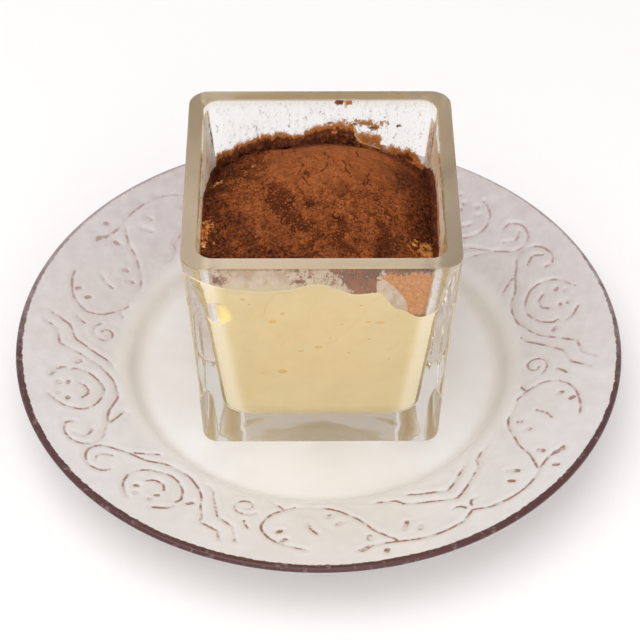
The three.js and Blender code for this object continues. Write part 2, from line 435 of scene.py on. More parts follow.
def cocoa_finish(sizes):
    """Dry powder with random tone, painted light on the smooth crest and the crumb tops and painted shade
    in pits, cracks and hollows, nearly black brown where it is wet, and cream showing at some edges."""
    m = Finish("Cocoa")
    fine = m.noise(0.35, 4, roughness=0.7)
    lumps = m.noise(1.1, 4, roughness=0.65)
    # Painted light and shade: lighter on the crest and the crumbs' tops, darker in pits, cracks and
    # hollows.
    dry = m.mix(m.attribute("tone_and_top_light"), sizes.cocoa_colour, sizes.cocoa_light)
    dry = m.mix(m.between(fine, 0.5, 0.72), dry, sizes.cocoa_glint)
    dry = m.mix(m.between(fine, 0.48, 0.3), dry, sizes.cocoa_dark)
    dry = m.mix(m.times(m.between(lumps, 0.48, 0.34), 0.45), dry, sizes.cocoa_dark)
    dry = m.mix(m.times(m.attribute("pit"), 0.9), dry, sizes.cocoa_dark)
    damp = m.ragged("wet", m.scaled(m.noise(3.0, 4), 1.0, -0.5), 0.12, 0.8)
    soaked = m.mix(m.between(lumps, 0.4, 0.66), sizes.cocoa_wet, sizes.cocoa_colour)
    swirls = m.noise(2.0, 5, roughness=0.7)
    cream = m.ragged("cream", m.scaled(swirls, 3.0, -1.65), 0.4, 0.8)
    toasted = m.mix(m.between(swirls, 0.46, 0.62), sizes.toast_colour, sizes.toast_light)
    colour = m.mix(cream, m.mix(damp, dry, soaked), toasted)
    inputs = {"Base Color": colour, "Roughness": m.scaled(damp, -0.15, 0.97), "Normal": m.bump(fine, 0.12)}
    inputs["Specular IOR Level"] = 0.05
    return m.finish(inputs)


def residue_finish(sizes):
    """Cocoa stuck to the glass: a thin cream halo with tan specks, an orange brown shoulder in tufts,
    then dark brown. Patches are orange all over and ridges are cream."""
    m = Finish("CocoaResidue")
    grain = m.noise(0.8, 4, roughness=0.7)
    tufts = m.noise(1.1, 4, m.stretched((1, 1, 0.45)), 0.7)
    deep = m.plus(m.attribute("deep"), m.scaled(tufts, 5.0, -2.5))
    halo = m.mix(m.between(deep, -4.5, -1.8), sizes.fringe_colour, sizes.halo_colour)
    halo = m.mix(m.between(grain, 0.52, 0.68), halo, sizes.toast_colour)
    shoulder = m.mix(m.between(grain, 0.45, 0.7), sizes.shoulder_colour, sizes.toast_light)
    brown = m.mix(m.between(tufts, 0.4, 0.66), sizes.cocoa_dark, sizes.cocoa_colour)
    colour = m.mix(m.between(deep, -2.4, -0.8), halo, shoulder)
    colour = m.mix(m.between(deep, -0.4, 0.6), colour, brown)
    spread = m.scaled(m.plus(grain, tufts), 1.8, -1.8)
    patch = m.ragged("patch", spread, 0.25, 1.0)
    ridge = m.ragged("ridge", spread, 0.3, 0.7)
    colour = m.mix(ridge, m.mix(patch, colour, shoulder), sizes.halo_colour)
    load = m.plus(m.times(tufts, 0.5), m.times(grain, 0.5))
    load = m.plus(load, m.scaled(m.attribute("halo"), 0.38, -0.38))
    thin = m.times(m.between(load, 0.36, 0.56), 0.9)
    thin = m.most(thin, m.most(patch, m.times(ridge, 0.5)))
    shown = m.most(thin, m.between(deep, -2.6, -0.4))
    inputs = {"Base Color": colour, "Roughness": 0.75, "Alpha": shown, "Normal": m.bump(grain, 0.12)}
    inputs["Specular IOR Level"] = 0.2
    return m.finish(inputs)


def film_finish(name, sizes, thin, thick, size_mm, cover, strength=1.0):
    """A film on the glass, in streaks up the wall and broad patches: cream where it is thin, with mauve
    brown and orange where the attributes say so, and grains in both."""
    m = Finish(name)
    streaks = m.noise(size_mm, 5, m.stretched((1, 1, 0.36)), 0.65)
    grain = m.noise(0.8, 4, roughness=0.7)
    broad = m.plus(m.times(streaks, 0.5), m.times(m.noise(8, 2), 0.5))
    spread = m.scaled(m.plus(grain, streaks), 1.8, -1.8)
    cream = m.mix(m.between(broad, 0.4, 0.6), thin, thick)
    cream = m.mix(m.ragged("haze", spread, 0.2, 0.8), cream, sizes.haze_colour)
    fine = m.noise(1.0, 6, roughness=0.85)
    tan = m.mix(m.between(fine, 0.5, 0.75), sizes.orange_colour, sizes.halo_colour)
    tan = m.mix(m.between(fine, 0.47, 0.36), tan, sizes.tan_dark)
    in_tan = m.ragged("orange", spread, 0.25, 0.75)
    mauve = m.mix(m.between(broad, 0.38, 0.6), sizes.mauve_colour, sizes.mauve_shade)
    in_mauve = m.ragged("brown", spread, 0.25, 0.75)
    colour = m.mix(in_mauve, m.mix(in_tan, cream, tan), mauve)
    load = m.plus(m.times(streaks, 0.6), m.times(grain, 0.4))
    base = m.times(m.between(load, *cover), strength)
    rich = m.times(m.most(in_tan, in_mauve), 0.93)
    shown = m.times(m.most(base, rich), m.attribute("cover"))
    inputs = {"Base Color": colour, "Roughness": 0.55, "Alpha": shown, "Normal": m.bump(grain, 0.05)}
    return m.finish(inputs)


def plain_finish(name, colour, other, size_mm, roughness):
    """Two colours mottled by noise."""
    m = Finish(name)
    mottle = m.noise(size_mm, 4, roughness=0.65)
    inputs = {"Base Color": m.mix(m.between(mottle, 0.35, 0.65), colour, other)}
    inputs.update({"Roughness": roughness, "Normal": m.bump(mottle, 0.08)})
    return m.finish(inputs)


# ---- The plate ----


def line(start, end, steps):
    """Points from start towards end, without the end."""
    share = np.linspace(0, 1, steps, endpoint=False)[:, None]
    return np.array(start) + share * (np.array(end) - np.array(start))


def bend(start, pull, end, steps):
    """A quadratic curve: (1-t)^2 start + 2t(1-t) pull + t^2 end, without the end."""
    t = np.linspace(0, 1, steps, endpoint=False)[:, None]
    return (1 - t) ** 2 * np.array(start) + 2 * t * (1 - t) * np.array(pull) + t**2 * np.array(end)


def plate_section():
    """The plate's half section as (radius, height) points: the underside outwards, the round edge, the
    rim inwards, the well's wall and its floor. Also the numbers of its first rim point, of the first one
    past the rim, and of the one at the edge."""
    under = WELL_FLOOR - PLATE_THICK
    foot_in = FOOT_RADIUS - FOOT_WIDTH
    bevel, bevel_rise = 0.8, 0.4
    centre_under, centre_floor = 18, 14  # where the flat middles start, hidden by the foot and the glass
    edge = np.array([PLATE_RADIUS - EDGE_RADIUS, PLATE_TALL - EDGE_RADIUS])
    turn = np.radians(np.linspace(-60, 112, 11))
    rounded = edge + EDGE_RADIUS * np.stack([np.cos(turn), np.sin(turn)], -1)
    rim_start = np.array([WALL_RADIUS + 4, WALL_TALL + 1.1])
    wall_bend = np.array([WALL_RADIUS - 1.4, WALL_TALL - 2.6])
    floor_edge = np.array([WELL_RADIUS - 2, WELL_FLOOR])
    root_in, root_out = (foot_in - 1.5, under), (FOOT_RADIUS + 1.3, under)
    under_wall = (WALL_RADIUS + 2.6, WALL_TALL - 3.2)
    underside = [
        line((centre_under, under), root_in, 3),
        line(root_in, (foot_in, bevel_rise), 2),
        line((foot_in, bevel_rise), (foot_in + bevel, 0), 2),
        line((foot_in + bevel, 0), (FOOT_RADIUS - bevel, 0), 2),
        line((FOOT_RADIUS - bevel, 0), (FOOT_RADIUS, bevel_rise), 2),
        line((FOOT_RADIUS, bevel_rise), root_out, 2),
        bend(root_out, (WALL_RADIUS, under + 1), under_wall, 6),
        line(under_wall, rounded[0], 5),
    ]
    rim = line(rounded[-1], rim_start, 60)
    inside = [
        bend(rim_start, (WALL_RADIUS, WALL_TALL), wall_bend, 5),
        bend(wall_bend, (WELL_RADIUS + 2, WELL_FLOOR), floor_edge, 6),
        line(floor_edge, (centre_floor, WELL_FLOOR), 4),
    ]
    before = np.vstack(underside + [rounded[:-1]])
    section = np.vstack([before, rim] + inside)
    return section, len(before), len(before) + len(rim), len(before) - 5


def curl(centre, radius, sweep, start, shrink):
    """Points of a spiral in (degrees round the plate, radius): it turns by sweep degrees from start
    while its radius, in millimetres, shrinks to that share."""
    turn = np.radians(np.linspace(start, start + sweep, 40))
    reach = radius * np.linspace(1, shrink, 40)
    degrees_per_mm = math.degrees(1 / centre[1])
    across, up = reach * np.cos(turn), reach * np.sin(turn)
    return np.stack([centre[0] + across * degrees_per_mm, centre[1] + up], -1)


# One quarter of the rim's scrollwork, mirrored into the other three. Each stroke runs through points given
# as (degrees from the middle of the gabled motif, radius). Round strokes are splines, straight ones have
# corners, and drops are short thick dabs.
ROUND_STROKES = [
    [(0, 87.3), (3.5, 90), (8, 91.3), (13, 91.2), (18, 89.6), (22, 89.4), (25.4, 91)],
    [(17.6, 88.6), (20.5, 83), (22.8, 77.2), (26, 72.2), (30, 69), (34.5, 67.7), (38.5, 68.3), (42, 71)],
    [(42, 71), (44.9, 75), (45.6, 79.7), (44.2, 84), (41.5, 87.3), (38, 89.2), (35.6, 90.3)],
    [(33.2, 82), (34.6, 79.2), (35.2, 76.2)],
    [(57.8, 86), (59.3, 81.5), (62.6, 74), (66.8, 70), (71.5, 68.6), (76, 69.8), (80, 73.6), (84.5, 76.6)],
    [(84.5, 76.6), (88.4, 81), (89.4, 85.5), (88, 89.4), (84.9, 91), (82.3, 89.2), (82, 86.3)],
    [(85.4, 88.6), (86.8, 85.4), (85.3, 82.2)], [(79.9, 67.4), (82.2, 71.4), (84, 75)],
    [(73.4, 91), (77.2, 87), (78.5, 81.3), (76.8, 76.2), (72.2, 72.8), (67.4, 75.2), (65.2, 79.5),
     (65.5, 82)],
    [(67.8, 89.2), (65.8, 86.6), (65, 84)], [(74.8, 80.4), (73.4, 78.3), (71.2, 78.2), (69.9, 80)],
    [(48.1, 82.6), (49.0, 81.2), (49.6, 79.4)],
]
STRAIGHT_STROKES = [
    [(0, 79.3), (11.5, 72.4), (12.9, 69.8), (26, 65)], [(0, 74.3), (9.2, 68.6), (11, 65.4), (16.6, 63.8)],
    [(52.2, 91.6), (53.6, 87.6), (57.8, 86)],
    [(49.2, 90.4), (51.4, 83.8), (55.5, 81), (57.2, 77.4), (61, 70.2), (65, 66.6)],
    [(41.6, 70.6), (44.9, 66.6)],
]
CURLS = [((51.2, 72.2), 4.4, -400, 150, 0.3), ((2.4, 85.4), 2.4, -100, -75, 1.0)]
DROPS = [
    [(13.6, 81.6), (15.2, 84.8)], [(11.4, 85.2), (11.9, 86.4)], [(22.4, 84.6), (22.7, 86.4)],
    [(23.2, 89.9), (24.9, 91.6)], [(19.9, 92.6), (20.3, 93.8)], [(41.0, 81.4), (41.8, 82.4)],
    [(39.6, 85.6), (40.3, 86.5)], [(27.8, 76.2), (28.6, 77.4)], [(30.2, 72.2), (30.5, 73.2)],
    [(73.0, 87.4), (73.2, 87.9)], [(74.6, 84.8), (74.9, 85.3)], [(69.7, 86.6), (70.0, 87.0)],
    [(69.6, 83.5), (69.9, 84.0)], [(62.4, 79.2), (63.2, 80.6)],
]
MOTIF_START = 32.5  # degrees from the front to the middle of the first gabled motif
RIM_MIDDLE = (WALL_RADIUS + PLATE_RADIUS) / 2
DROP_RADIUS = 0.35
STAIN_REACH = 0.62  # how far the brown spreads from a groove's middle
EDGE_PAINT = 1.15  # how far in from the edge the paint comes, before it is brushed unevenly
FAR_OFF = 99.0  # how far from the edge the points in the middle count as
PLATE_COLUMNS = 900


def ornament_samples():
    """Samples along every stroke and along every drop, as (arc length at the rim's middle, radius)."""
    lines = [smooth_curve(stroke, 24) for stroke in ROUND_STROKES]
    for stroke in STRAIGHT_STROKES:
        lines += [line(a, b, 30) for a, b in zip(stroke, stroke[1:])]
    lines += [curl(*each) for each in CURLS]
    drops = [line(a, b, 6) for a, b in DROPS]
    scale = np.array([math.radians(1) * RIM_MIDDLE, 1])
    return np.vstack(lines) * scale, np.vstack(drops) * scale


def gap_to_ornament(angle, radius):
    """How far each point of the rim is from the nearest stroke or drop. The rim is folded onto the one
    quarter that is drawn, and noise lets the strokes wander a little."""
    turned = (np.degrees(angle) - MOTIF_START + 90) % 180 - 90
    across = np.broadcast_to(np.radians(np.abs(turned)) * RIM_MIDDLE, radius.shape)
    spots = np.stack([across, radius], -1)
    sway = two_noises(np.stack([radius * np.sin(angle), radius * np.cos(angle)], -1), 5, SEED)
    lines, drops = ornament_samples()
    to_drop = np.maximum(distance_to(spots + 0.2 * sway, drops) - DROP_RADIUS, 0)
    return np.minimum(distance_to(spots + 0.22 * sway, lines), to_drop)


def make_plate(sizes, material):
    """The section turned round, with the scrollwork pressed into the rim. A point's depth is
    -d exp(-(g/w)^2) for its distance g from a stroke, with a low swelling beside the groove."""
    section, first, last, edge_row = plate_section()
    angle = np.linspace(0, 2 * np.pi, PLATE_COLUMNS, endpoint=False)
    radius = np.repeat(section[:, :1], len(angle), 1)
    height = np.repeat(section[:, 1:], len(angle), 1)
    ahead = np.roll(section, -1, 0) - np.roll(section, 1, 0)
    ahead /= np.linalg.norm(ahead, axis=1, keepdims=True)
    normal = np.stack([ahead[:, 1], -ahead[:, 0]], -1)

    rim = slice(first, last)
    gap = gap_to_ornament(angle, radius[rim])
    width = sizes.groove_width / MM / 2
    groove = np.exp(-((gap / width) ** 2))
    swelling = np.exp(-(((gap - 2.3 * width) / width) ** 2))
    relief = sizes.groove_depth / MM * (0.35 * swelling - groove)
    around = np.stack([radius[rim] * np.sin(angle), radius[rim] * np.cos(angle)], -1)
    relief += 0.05 * soft_noise(around, 7, SEED + 2)
    radius[rim] += relief * normal[rim, :1]
    height[rim] += relief * normal[rim, 1:]
    rings = np.stack([radius * np.sin(angle), -radius * np.cos(angle), height], -1)
    points, quads, triangles = ring_stack(rings)

    front = 0.5 + 0.5 * np.cos(angle)
    left = 0.5 + 0.5 * np.cos(angle + math.radians(75))
    stain = np.zeros_like(radius)
    stain[rim] = np.exp(-((gap / STAIN_REACH) ** 2))
    brushed = layered_noise(np.stack([np.cos(angle), np.sin(angle)], -1), 0.5, 4, SEED + 4)
    painted = EDGE_PAINT + 0.3 * left**2 + 0.95 * front + 0.45 * brushed
    edge = np.hypot(*(section - section[edge_row]).T)[:, None] - painted
    # Painted shade in the wash: a painted shadow of the glass over the well, weaker at the front, and more
    # wash towards the back and sides.
    painted_well_shadow = 0.32 * (1 - 0.8 * front**3)
    on_rim = smooth_step(WALL_RADIUS - 2, WALL_RADIUS + 7, np.hypot(rings[..., 0], rings[..., 1]))
    wash_and_shade = (painted_well_shadow + (1 - painted_well_shadow) * on_rim) * (1.25 - 0.5 * front)
    looks = {"stain": stain, "edge": edge, "wash_and_shade": wash_and_shade, "rub": 0.45 + 0.55 * front**0.7, "far": 1 - front}
    ends = {"edge": [FAR_OFF, FAR_OFF]}
    attributes = {key: np.append(np.broadcast_to(values, radius.shape), ends.get(key, [0, 0]))
                  for key, values in looks.items()}
    new_piece("PlateBody", material, points, quads, triangles, attributes, "plate", "ceramic")


# ---- The glass ----

BASE_GAP = 0.06  # the glass stands this far off the plate, so that there is air below it
BASE_ROUND = 1.3
RIM_ROUND = 0.6
FILLET_START = 16  # a height just above the fillet at the cavity's floor
QUARTER_TURNS = [k * math.pi / 2 for k in range(4)]


def outer_half(height):
    """Half the glass's outer width: it grows with the height to the power of the flare."""
    return BASE_HALF + (RIM_HALF - BASE_HALF) * (height / GLASS_TALL) ** FLARE


def outer_corner(height):
    """The outer corner's radius, which grows evenly from the base to the rim."""
    return BASE_CORNER + (RIM_CORNER - BASE_CORNER) * height / GLASS_TALL


def cavity_half(height):
    """Half the cavity's width: a straight taper, less a quarter circle at the floor."""
    straight = MOUTH_HALF - CAVITY_DRAFT * (GLASS_TALL - height)
    drop = np.clip(CAVITY_FILLET - (height - CAVITY_FLOOR), 0, CAVITY_FILLET)
    return straight - CAVITY_FILLET + np.sqrt(CAVITY_FILLET**2 - drop**2)


def cavity_corner(height):
    """The corner radius, which grows a little with the depth but stays under the half width."""
    return np.minimum(CAVITY_CORNER + 0.02 * (GLASS_TALL - height), cavity_half(height) - 4)


def square_basis(side_steps, corner_steps):
    """Two unit outlines, A and B. A rounded square of half width h and corner radius r is (h - r)A + rB,
    anticlockwise from the left end of the front."""
    along = np.linspace(-1, 1, side_steps)
    turn = np.linspace(-np.pi / 2, 0, corner_steps + 2)[1:-1]
    flat = np.vstack([np.stack([along, 0 * along - 1], -1), np.tile([1.0, -1.0], (corner_steps, 1))])
    arc = np.stack([np.cos(turn), np.sin(turn)], -1)
    curve = np.vstack([np.tile([0.0, -1.0], (side_steps, 1)), arc])
    quarters = [np.array([[math.cos(t), math.sin(t)], [-math.sin(t), math.cos(t)]]) for t in QUARTER_TURNS]
    return np.vstack([flat @ q for q in quarters]), np.vstack([curve @ q for q in quarters])


def square_rings(half, corner, height, basis):
    """Rounded squares as rings of points: half, corner and height are arrays of one value for each ring,
    or one for each point."""
    half, corner, height = (np.atleast_2d(np.asarray(v, float).T).T for v in (half, corner, height))
    flat_part, round_part = basis
    outline = (half - corner)[..., None] * flat_part + corner[..., None] * round_part
    tall = np.broadcast_to(height, outline.shape[:2])
    return np.concatenate([outline, tall[..., None]], -1)


def in_place(points):
    """From the glass's own axes to the frame's."""
    return points + np.array([GLASS_CENTRE.x, GLASS_CENTRE.y, GLASS_BASE])


def floor_fillet(steps):
    """Heights up the quarter circle at the cavity's floor, evenly spaced in angle."""
    return CAVITY_FLOOR + CAVITY_FILLET * (1 - np.cos(np.linspace(0, np.pi / 2, steps)))


def make_glass(material):
    """One closed wall: up the outside, over the rim and down the cavity to its floor. The base and the
    rim have edges rounded by quarter circles."""
    basis = square_basis(side_steps=30, corner_steps=12)
    turn = np.linspace(0, np.pi / 2, 7)
    rise = BASE_ROUND * (1 - np.cos(turn))
    inset = BASE_ROUND * (1 - np.sin(turn))
    shoulder = GLASS_TALL - RIM_ROUND
    walls = np.linspace(BASE_ROUND, shoulder, 22)[1:]
    over = RIM_ROUND * np.sin(turn[1:])
    lip = RIM_ROUND * (1 - np.cos(turn[1:]))
    outer = np.concatenate([rise, walls, shoulder + over])
    outer_in = np.concatenate([inset, 0 * walls, lip])
    outside = square_rings(outer_half(outer) - outer_in, outer_corner(outer) - outer_in, outer, basis)
    outside[:, :, 2] += BASE_GAP * (1 - smooth_step(0, BASE_ROUND, outer))[:, None]

    low = np.concatenate([np.linspace(shoulder, FILLET_START, 20), floor_fillet(10)[::-1]])
    inner = np.concatenate([(shoulder + over)[::-1][1:], low])
    spread = np.concatenate([lip[::-1][1:], 0 * low])
    inside = square_rings(cavity_half(inner) + spread, cavity_corner(inner) + spread / 2, inner, basis)
    points, quads, triangles = ring_stack(np.concatenate([outside, inside]))
    attributes = {"rim": smooth_step(GLASS_TALL - 1.0, GLASS_TALL - 0.3, points[:, 2])}
    points = in_place(points)
    glass = new_piece("GlassBody", material, points, quads, triangles, attributes, "glass", "glass")
    glass.visible_shadow = False


# ---- Places on the cavity's wall and on the mound ----


def wall_point(way, depth, inset):
    """A point on the cavity's wall in the glass's axes. way runs round it: 0 to 1 from left to right
    along the front, then the right side, the back and the left. depth is below the rim; inset is off the
    wall."""
    way, depth, inset = np.broadcast_arrays(*(np.asarray(v, float) for v in (way, depth, inset)))
    height = GLASS_TALL - depth
    half = cavity_half(height) - inset
    corner = cavity_corner(height) - inset / 2
    side = np.floor(way)
    outline = np.stack([(2 * (way - side) - 1) * half, -half], -1)
    flat = (half - corner)[..., None]
    over = np.maximum(np.abs(outline) - flat, 0)
    reach = np.maximum(np.linalg.norm(over, axis=-1), corner)
    rounded = np.minimum(np.abs(outline), flat) + over * (corner / reach)[..., None]
    x, y = np.moveaxis(rounded * np.sign(outline), -1, 0)
    cosine, sine = np.cos(side * np.pi / 2), np.sin(side * np.pi / 2)
    return np.stack([x * cosine - y * sine, x * sine + y * cosine, height], -1)


def bearing(x, y):
    """The direction of a point as seen from the mound's crown."""
    return np.arctan2(y - CROWN[1], x - CROWN[0])


def level_bearing(way):
    """The direction of a place on the wall, level with the rim."""
    level = wall_point(way, 0, 0)
    return bearing(level[..., 0], level[..., 1])


def shore_depth(angle):
    """The shoreline's depth in a direction, by smooth steps between its stops."""
    stops = np.array(SHORELINE)
    angles = bearing(stops[:, 0], stops[:, 1])
    order = np.argsort(angles)
    turn = 2 * np.pi
    angles = np.concatenate([angles[order[-1:]] - turn, angles[order], angles[order[:1]] + turn])
    depths = stops[np.concatenate([order[-1:], order, order[:1]]), 2]
    here = (np.asarray(angle) + np.pi) % turn - np.pi
    after = np.clip(np.searchsorted(angles, here, side="right"), 1, len(angles) - 1)
    share = smooth_step(angles[after - 1], angles[after], here)
    return depths[after - 1] + share * (depths[after] - depths[after - 1])


def calm_depth(angle):
    """The same with its short waves averaged out, over five directions."""
    return sum(shore_depth(angle + turn) for turn in (-0.3, -0.15, 0, 0.15, 0.3)) / 5


def mound_depth(spots):
    """How far the mound's surface lies below the rim: it falls from the crown with the power of the
    share of the way to the wall, and the shore's short waves fade in with a higher power."""
    way = np.linspace(0, 4, 1600, endpoint=False)
    shore = wall_point(way, shore_depth(level_bearing(way)), 0)
    here = bearing(spots[..., 0], spots[..., 1])
    reach = np.linalg.norm(shore[:, :2] - CROWN, axis=-1)
    full = np.interp(here, bearing(shore[:, 0], shore[:, 1]), reach, period=2 * np.pi)
    share = np.linalg.norm(spots - CROWN, axis=-1) / full
    calm = calm_depth(here)
    depth = CROWN_DEPTH + (calm - CROWN_DEPTH) * share**MOUND_POWER
    return depth + (shore_depth(here) - calm) * share**RIPPLE_POWER, share


# ---- Custard ----

# Small amber flecks against the front wall, as (x, depth, length, height).
FLECKS = [
    (-23.9, 16.1, 1.4, 0.9), (-15.0, 26.1, 2.4, 1.7), (-12.1, 49.7, 2.9, 1.9), (-6.4, 40.1, 2.1, 0.9),
    (-0.8, 38.2, 2.6, 1.2), (17.9, 26.7, 3.0, 1.1), (14.4, 26.5, 2.0, 0.7), (-12.0, 22.6, 1.6, 1.3),
    (12.0, 18.9, 1.0, 0.8), (6.2, 27.6, 1.0, 0.7), (14.7, 34.5, 1.1, 0.7), (-18.0, 50.4, 1.0, 0.6),
    (2.6, 33.9, 0.9, 0.5), (-22.0, 18.3, 0.9, 0.6), (8.4, 41.0, 1.0, 0.6), (21.0, 44.0, 0.9, 0.6),
]
POCKET = {"x": -31.8, "depth": 23.0, "half_wide": 4.8, "half_tall": 5.6, "deep": 0.6}
INTO_WALL = 0.12  # how far the custard reaches into the glass, and how far at its very top
INTO_WALL_TOP = 0.01


def hazy(x):
    """How blurred the custard's upper edge is along the front: only left of the brown film."""
    return smooth_step(-32, -27, x) * (1 - smooth_step(2, 7, x))


def pocket_hollow(rings, depth):
    """How much of the air pocket's full depth each point has: 1 near its middle, 0 outside an ellipse
    with a ragged edge, at the front only."""
    wide = (rings[..., 0] - POCKET["x"]) / POCKET["half_wide"]
    tall = (depth - POCKET["depth"]) / POCKET["half_tall"]
    off = np.hypot(wide, tall) + 0.12 * soft_noise(rings, 3, SEED + 9)
    return (1 - smooth_step(0.45, 1.0, off)) * (rings[..., 1] < 0)


def make_custard(material):
    """Rounded squares up the cavity, a touch wider than it so that they reach into the wall, then up
    under the cocoa to the crown. A soft dent at the front left corner leaves a pocket of air."""
    basis = square_basis(side_steps=64, corner_steps=16)
    level = square_rings([MOUTH_HALF], [CAVITY_CORNER], [0.0], basis)[0]
    top = GLASS_TALL - shore_depth(bearing(level[:, 0], level[:, 1]))
    start = CAVITY_FLOOR + CAVITY_FILLET
    low = np.repeat(floor_fillet(9)[:-1, None] - INTO_WALL, len(top), 1)
    height = np.vstack([low, start + (top - start) * np.linspace(0, 1, 90)[:, None]])
    reach = INTO_WALL_TOP + (INTO_WALL - INTO_WALL_TOP) * smooth_step(0, 2.5, top - height)
    half = cavity_half(height) + reach
    corner = cavity_corner(height)
    hollow = pocket_hollow(square_rings(half, corner, height, basis), GLASS_TALL - height)
    rings = square_rings(half - POCKET["deep"] * hollow, corner, height, basis)

    share = np.linspace(1, 0, 14, endpoint=False)[1:, None, None]
    dome_spots = CROWN + (rings[-1, :, :2] - CROWN) * share
    dome_depth, _ = mound_depth(dome_spots)
    cocoa_thick = 2.8 - 1.2 * share
    dome = np.concatenate([dome_spots, GLASS_TALL - dome_depth[..., None] - cocoa_thick], -1)
    points, quads, triangles = ring_stack(np.concatenate([rings, dome]))

    rest = np.zeros(len(points) - hollow.size)
    past_flat = np.abs(rings[..., :2]) - (half - corner)[..., None]
    below_shore = top - height + 0.5 * soft_noise(rings, 2.5, SEED + 11)
    haze = 0.8 * (1 - smooth_step(0, 2.6, below_shore)) * hazy(rings[..., 0]) * (rings[..., 1] < 0)
    # pale marks the rounded corners, which take the painted reflection colour.
    looks = {"pale": smooth_step(-1.5, 2.5, past_flat.min(-1)), "pocket": hollow, "haze": haze}
    attributes = {key: np.append(values, rest) for key, values in looks.items()}
    lift = points[:, 2] - CAVITY_FLOOR
    attributes["wall"] = smooth_step(2, 7, lift) * (1 - attributes["pocket"])
    attributes["floor"] = 1 - smooth_step(0, 1.2, lift)
    points = in_place(points)
    custard = new_piece("CustardBody", material, points, quads, triangles, attributes, "custard", "custard")
    custard.visible_shadow = False


def make_flecks(material):
    """Flat ellipsoids half sunk in the custard's front, that reach a little further into the glass."""
    turn, lift = np.meshgrid(np.linspace(0, 2 * np.pi, 16, endpoint=False), np.linspace(-80, 80, 7))
    lift = np.radians(lift)
    ball = np.stack([np.cos(lift) * np.cos(turn), np.cos(lift) * np.sin(turn), np.sin(lift)], -1)
    unit, quads, triangles = ring_stack(ball)
    flecks = np.array(FLECKS)
    size = np.stack([flecks[:, 2] / 2, flecks[:, 3] / 2, np.full(len(flecks), INTO_WALL)], -1)
    way = (flecks[:, 0] / cavity_half(GLASS_TALL - flecks[:, 1]) + 1) / 2
    centre = wall_point(way, flecks[:, 1], -INTO_WALL)
    shaped = unit[None] * size[:, None]
    points = centre[:, None] + np.stack([shaped[..., 0], -shaped[..., 2], shaped[..., 1]], -1)
    shift = np.arange(len(flecks))[:, None, None] * len(unit)
    points = in_place(points.reshape(-1, 3))
    new_piece("CustardFlecks", material, points, quads + shift, triangles + shift, finish="custard")


# ---- Cocoa ----

# Cracks that run down from the crest, as (x, y) points, and hollows as (x, y, radius, depth).
CRACKS = [
    [(-6.9, 15.5), (-5.9, 10.7), (-6.8, 7.2), (-5, 4.4), (-3.7, 1.2)], [(-5, 7.7), (-4, 4.9)],
    [(-15.3, 3.8), (-17.2, 1.6), (-19, -0.6), (-19.6, -3.3)], [(-15.9, 2.4), (-15.9, -1.8)],
    [(1.8, 16.6), (2.3, 12.4), (0.4, 7.6)], [(15.7, 11.9), (14.6, 7.6), (14.9, 4)],
    [(13.6, 5.4), (14.2, 3.3)], [(24.2, 15.6), (25, 10.2), (24.2, 4.8)], [(16.7, -0.7), (18.5, -3.5)],
    [(20.7, -4.5), (21.5, -10.1), (20.4, -15.6)], [(-8.4, -14.6), (-8.5, -17), (-7.8, -19.6)],
    [(-12.6, 21.6), (-12, 18.8)], [(26.1, 15), (26.1, 9.5)], [(11.4, 18.7), (12.6, 15.9)],
    [(-3.3, 15.8), (-0.8, 12.4)], [(7.4, 13.1), (8.6, 8.5)], [(-20, 1), (-16, 6)],
]
HOLLOWS = [
    (-12.5, -5, 4.2, 0.9), (-9, -13, 3.2, 0.8), (-14, 1, 2.2, 0.7), (-5.5, -16, 2.0, 0.5),
    (5, -12, 2.2, 0.6), (-3, -7, 1.6, 0.4), (21, -19, 3.4, 1.0), (19, -26, 3.0, 0.8), (7, -22, 1.8, 0.5),
    (-22, -21, 2.6, 0.5),
]

# Wet cocoa and cream, besides the strips along the walls, as (x, y, width, height, strength). The last
# three
# # cream spots, at the rear left, are painted glints.
WET_SPOTS = [(20, -23, 4, 7, 0.75), (31, 14, 9, 11, 1), (-28, 17, 8, 6, 1)]
CREAM_SPOTS = [
    (35, -17, 8.5, 6.8, 1.2), (-36.2, -18, 4, 7.5, 1), (-34, 17, 3.5, 6, 1.2),
    (-27.2, 13.8, 1.265, 1.265, 0.7), (-24.4, 15.8, 1.265, 1.265, 0.7), (-21.2, 17.6, 1.265, 1.265, 0.7),
]
MOUND_HALF = 36.5
CRACK_WIDTH = 0.27
CRUST_STEPS = 306


def square_spots(steps):
    """A square grid spread over the mound: grid squares round the middle become rings round the crown
    that grow towards the wall."""
    u, v = np.meshgrid(np.linspace(-1, 1, steps), np.linspace(-1, 1, steps))
    share = np.maximum(np.abs(u), np.abs(v))
    safe = np.maximum(share, 1e-9)
    sides = [(v <= -share) & (share > 0), u >= share, v >= share]
    along = [(u / safe + 1) / 2, 1.5 + v / safe / 2, 2.5 - u / safe / 2]
    way = np.clip(np.select(sides, along, 3.5 - v / safe / 2), 0, 4 - 1e-9)
    wall = wall_point(way, shore_depth(level_bearing(way)) - 0.3, 0.1)[..., :2]
    return CROWN + (wall - CROWN) * share[..., None]


def graininess(x, y, sway):
    """0 where the cocoa lies smooth, on the crest and behind it, and 1 where it is crumbly, in front of
    the crest and on the left."""
    grainy = 1 - smooth_step(-7, 7, y + sway - 0.15 * np.abs(x + 2))
    return np.maximum(grainy, smooth_step(13, 22, -x + sway))


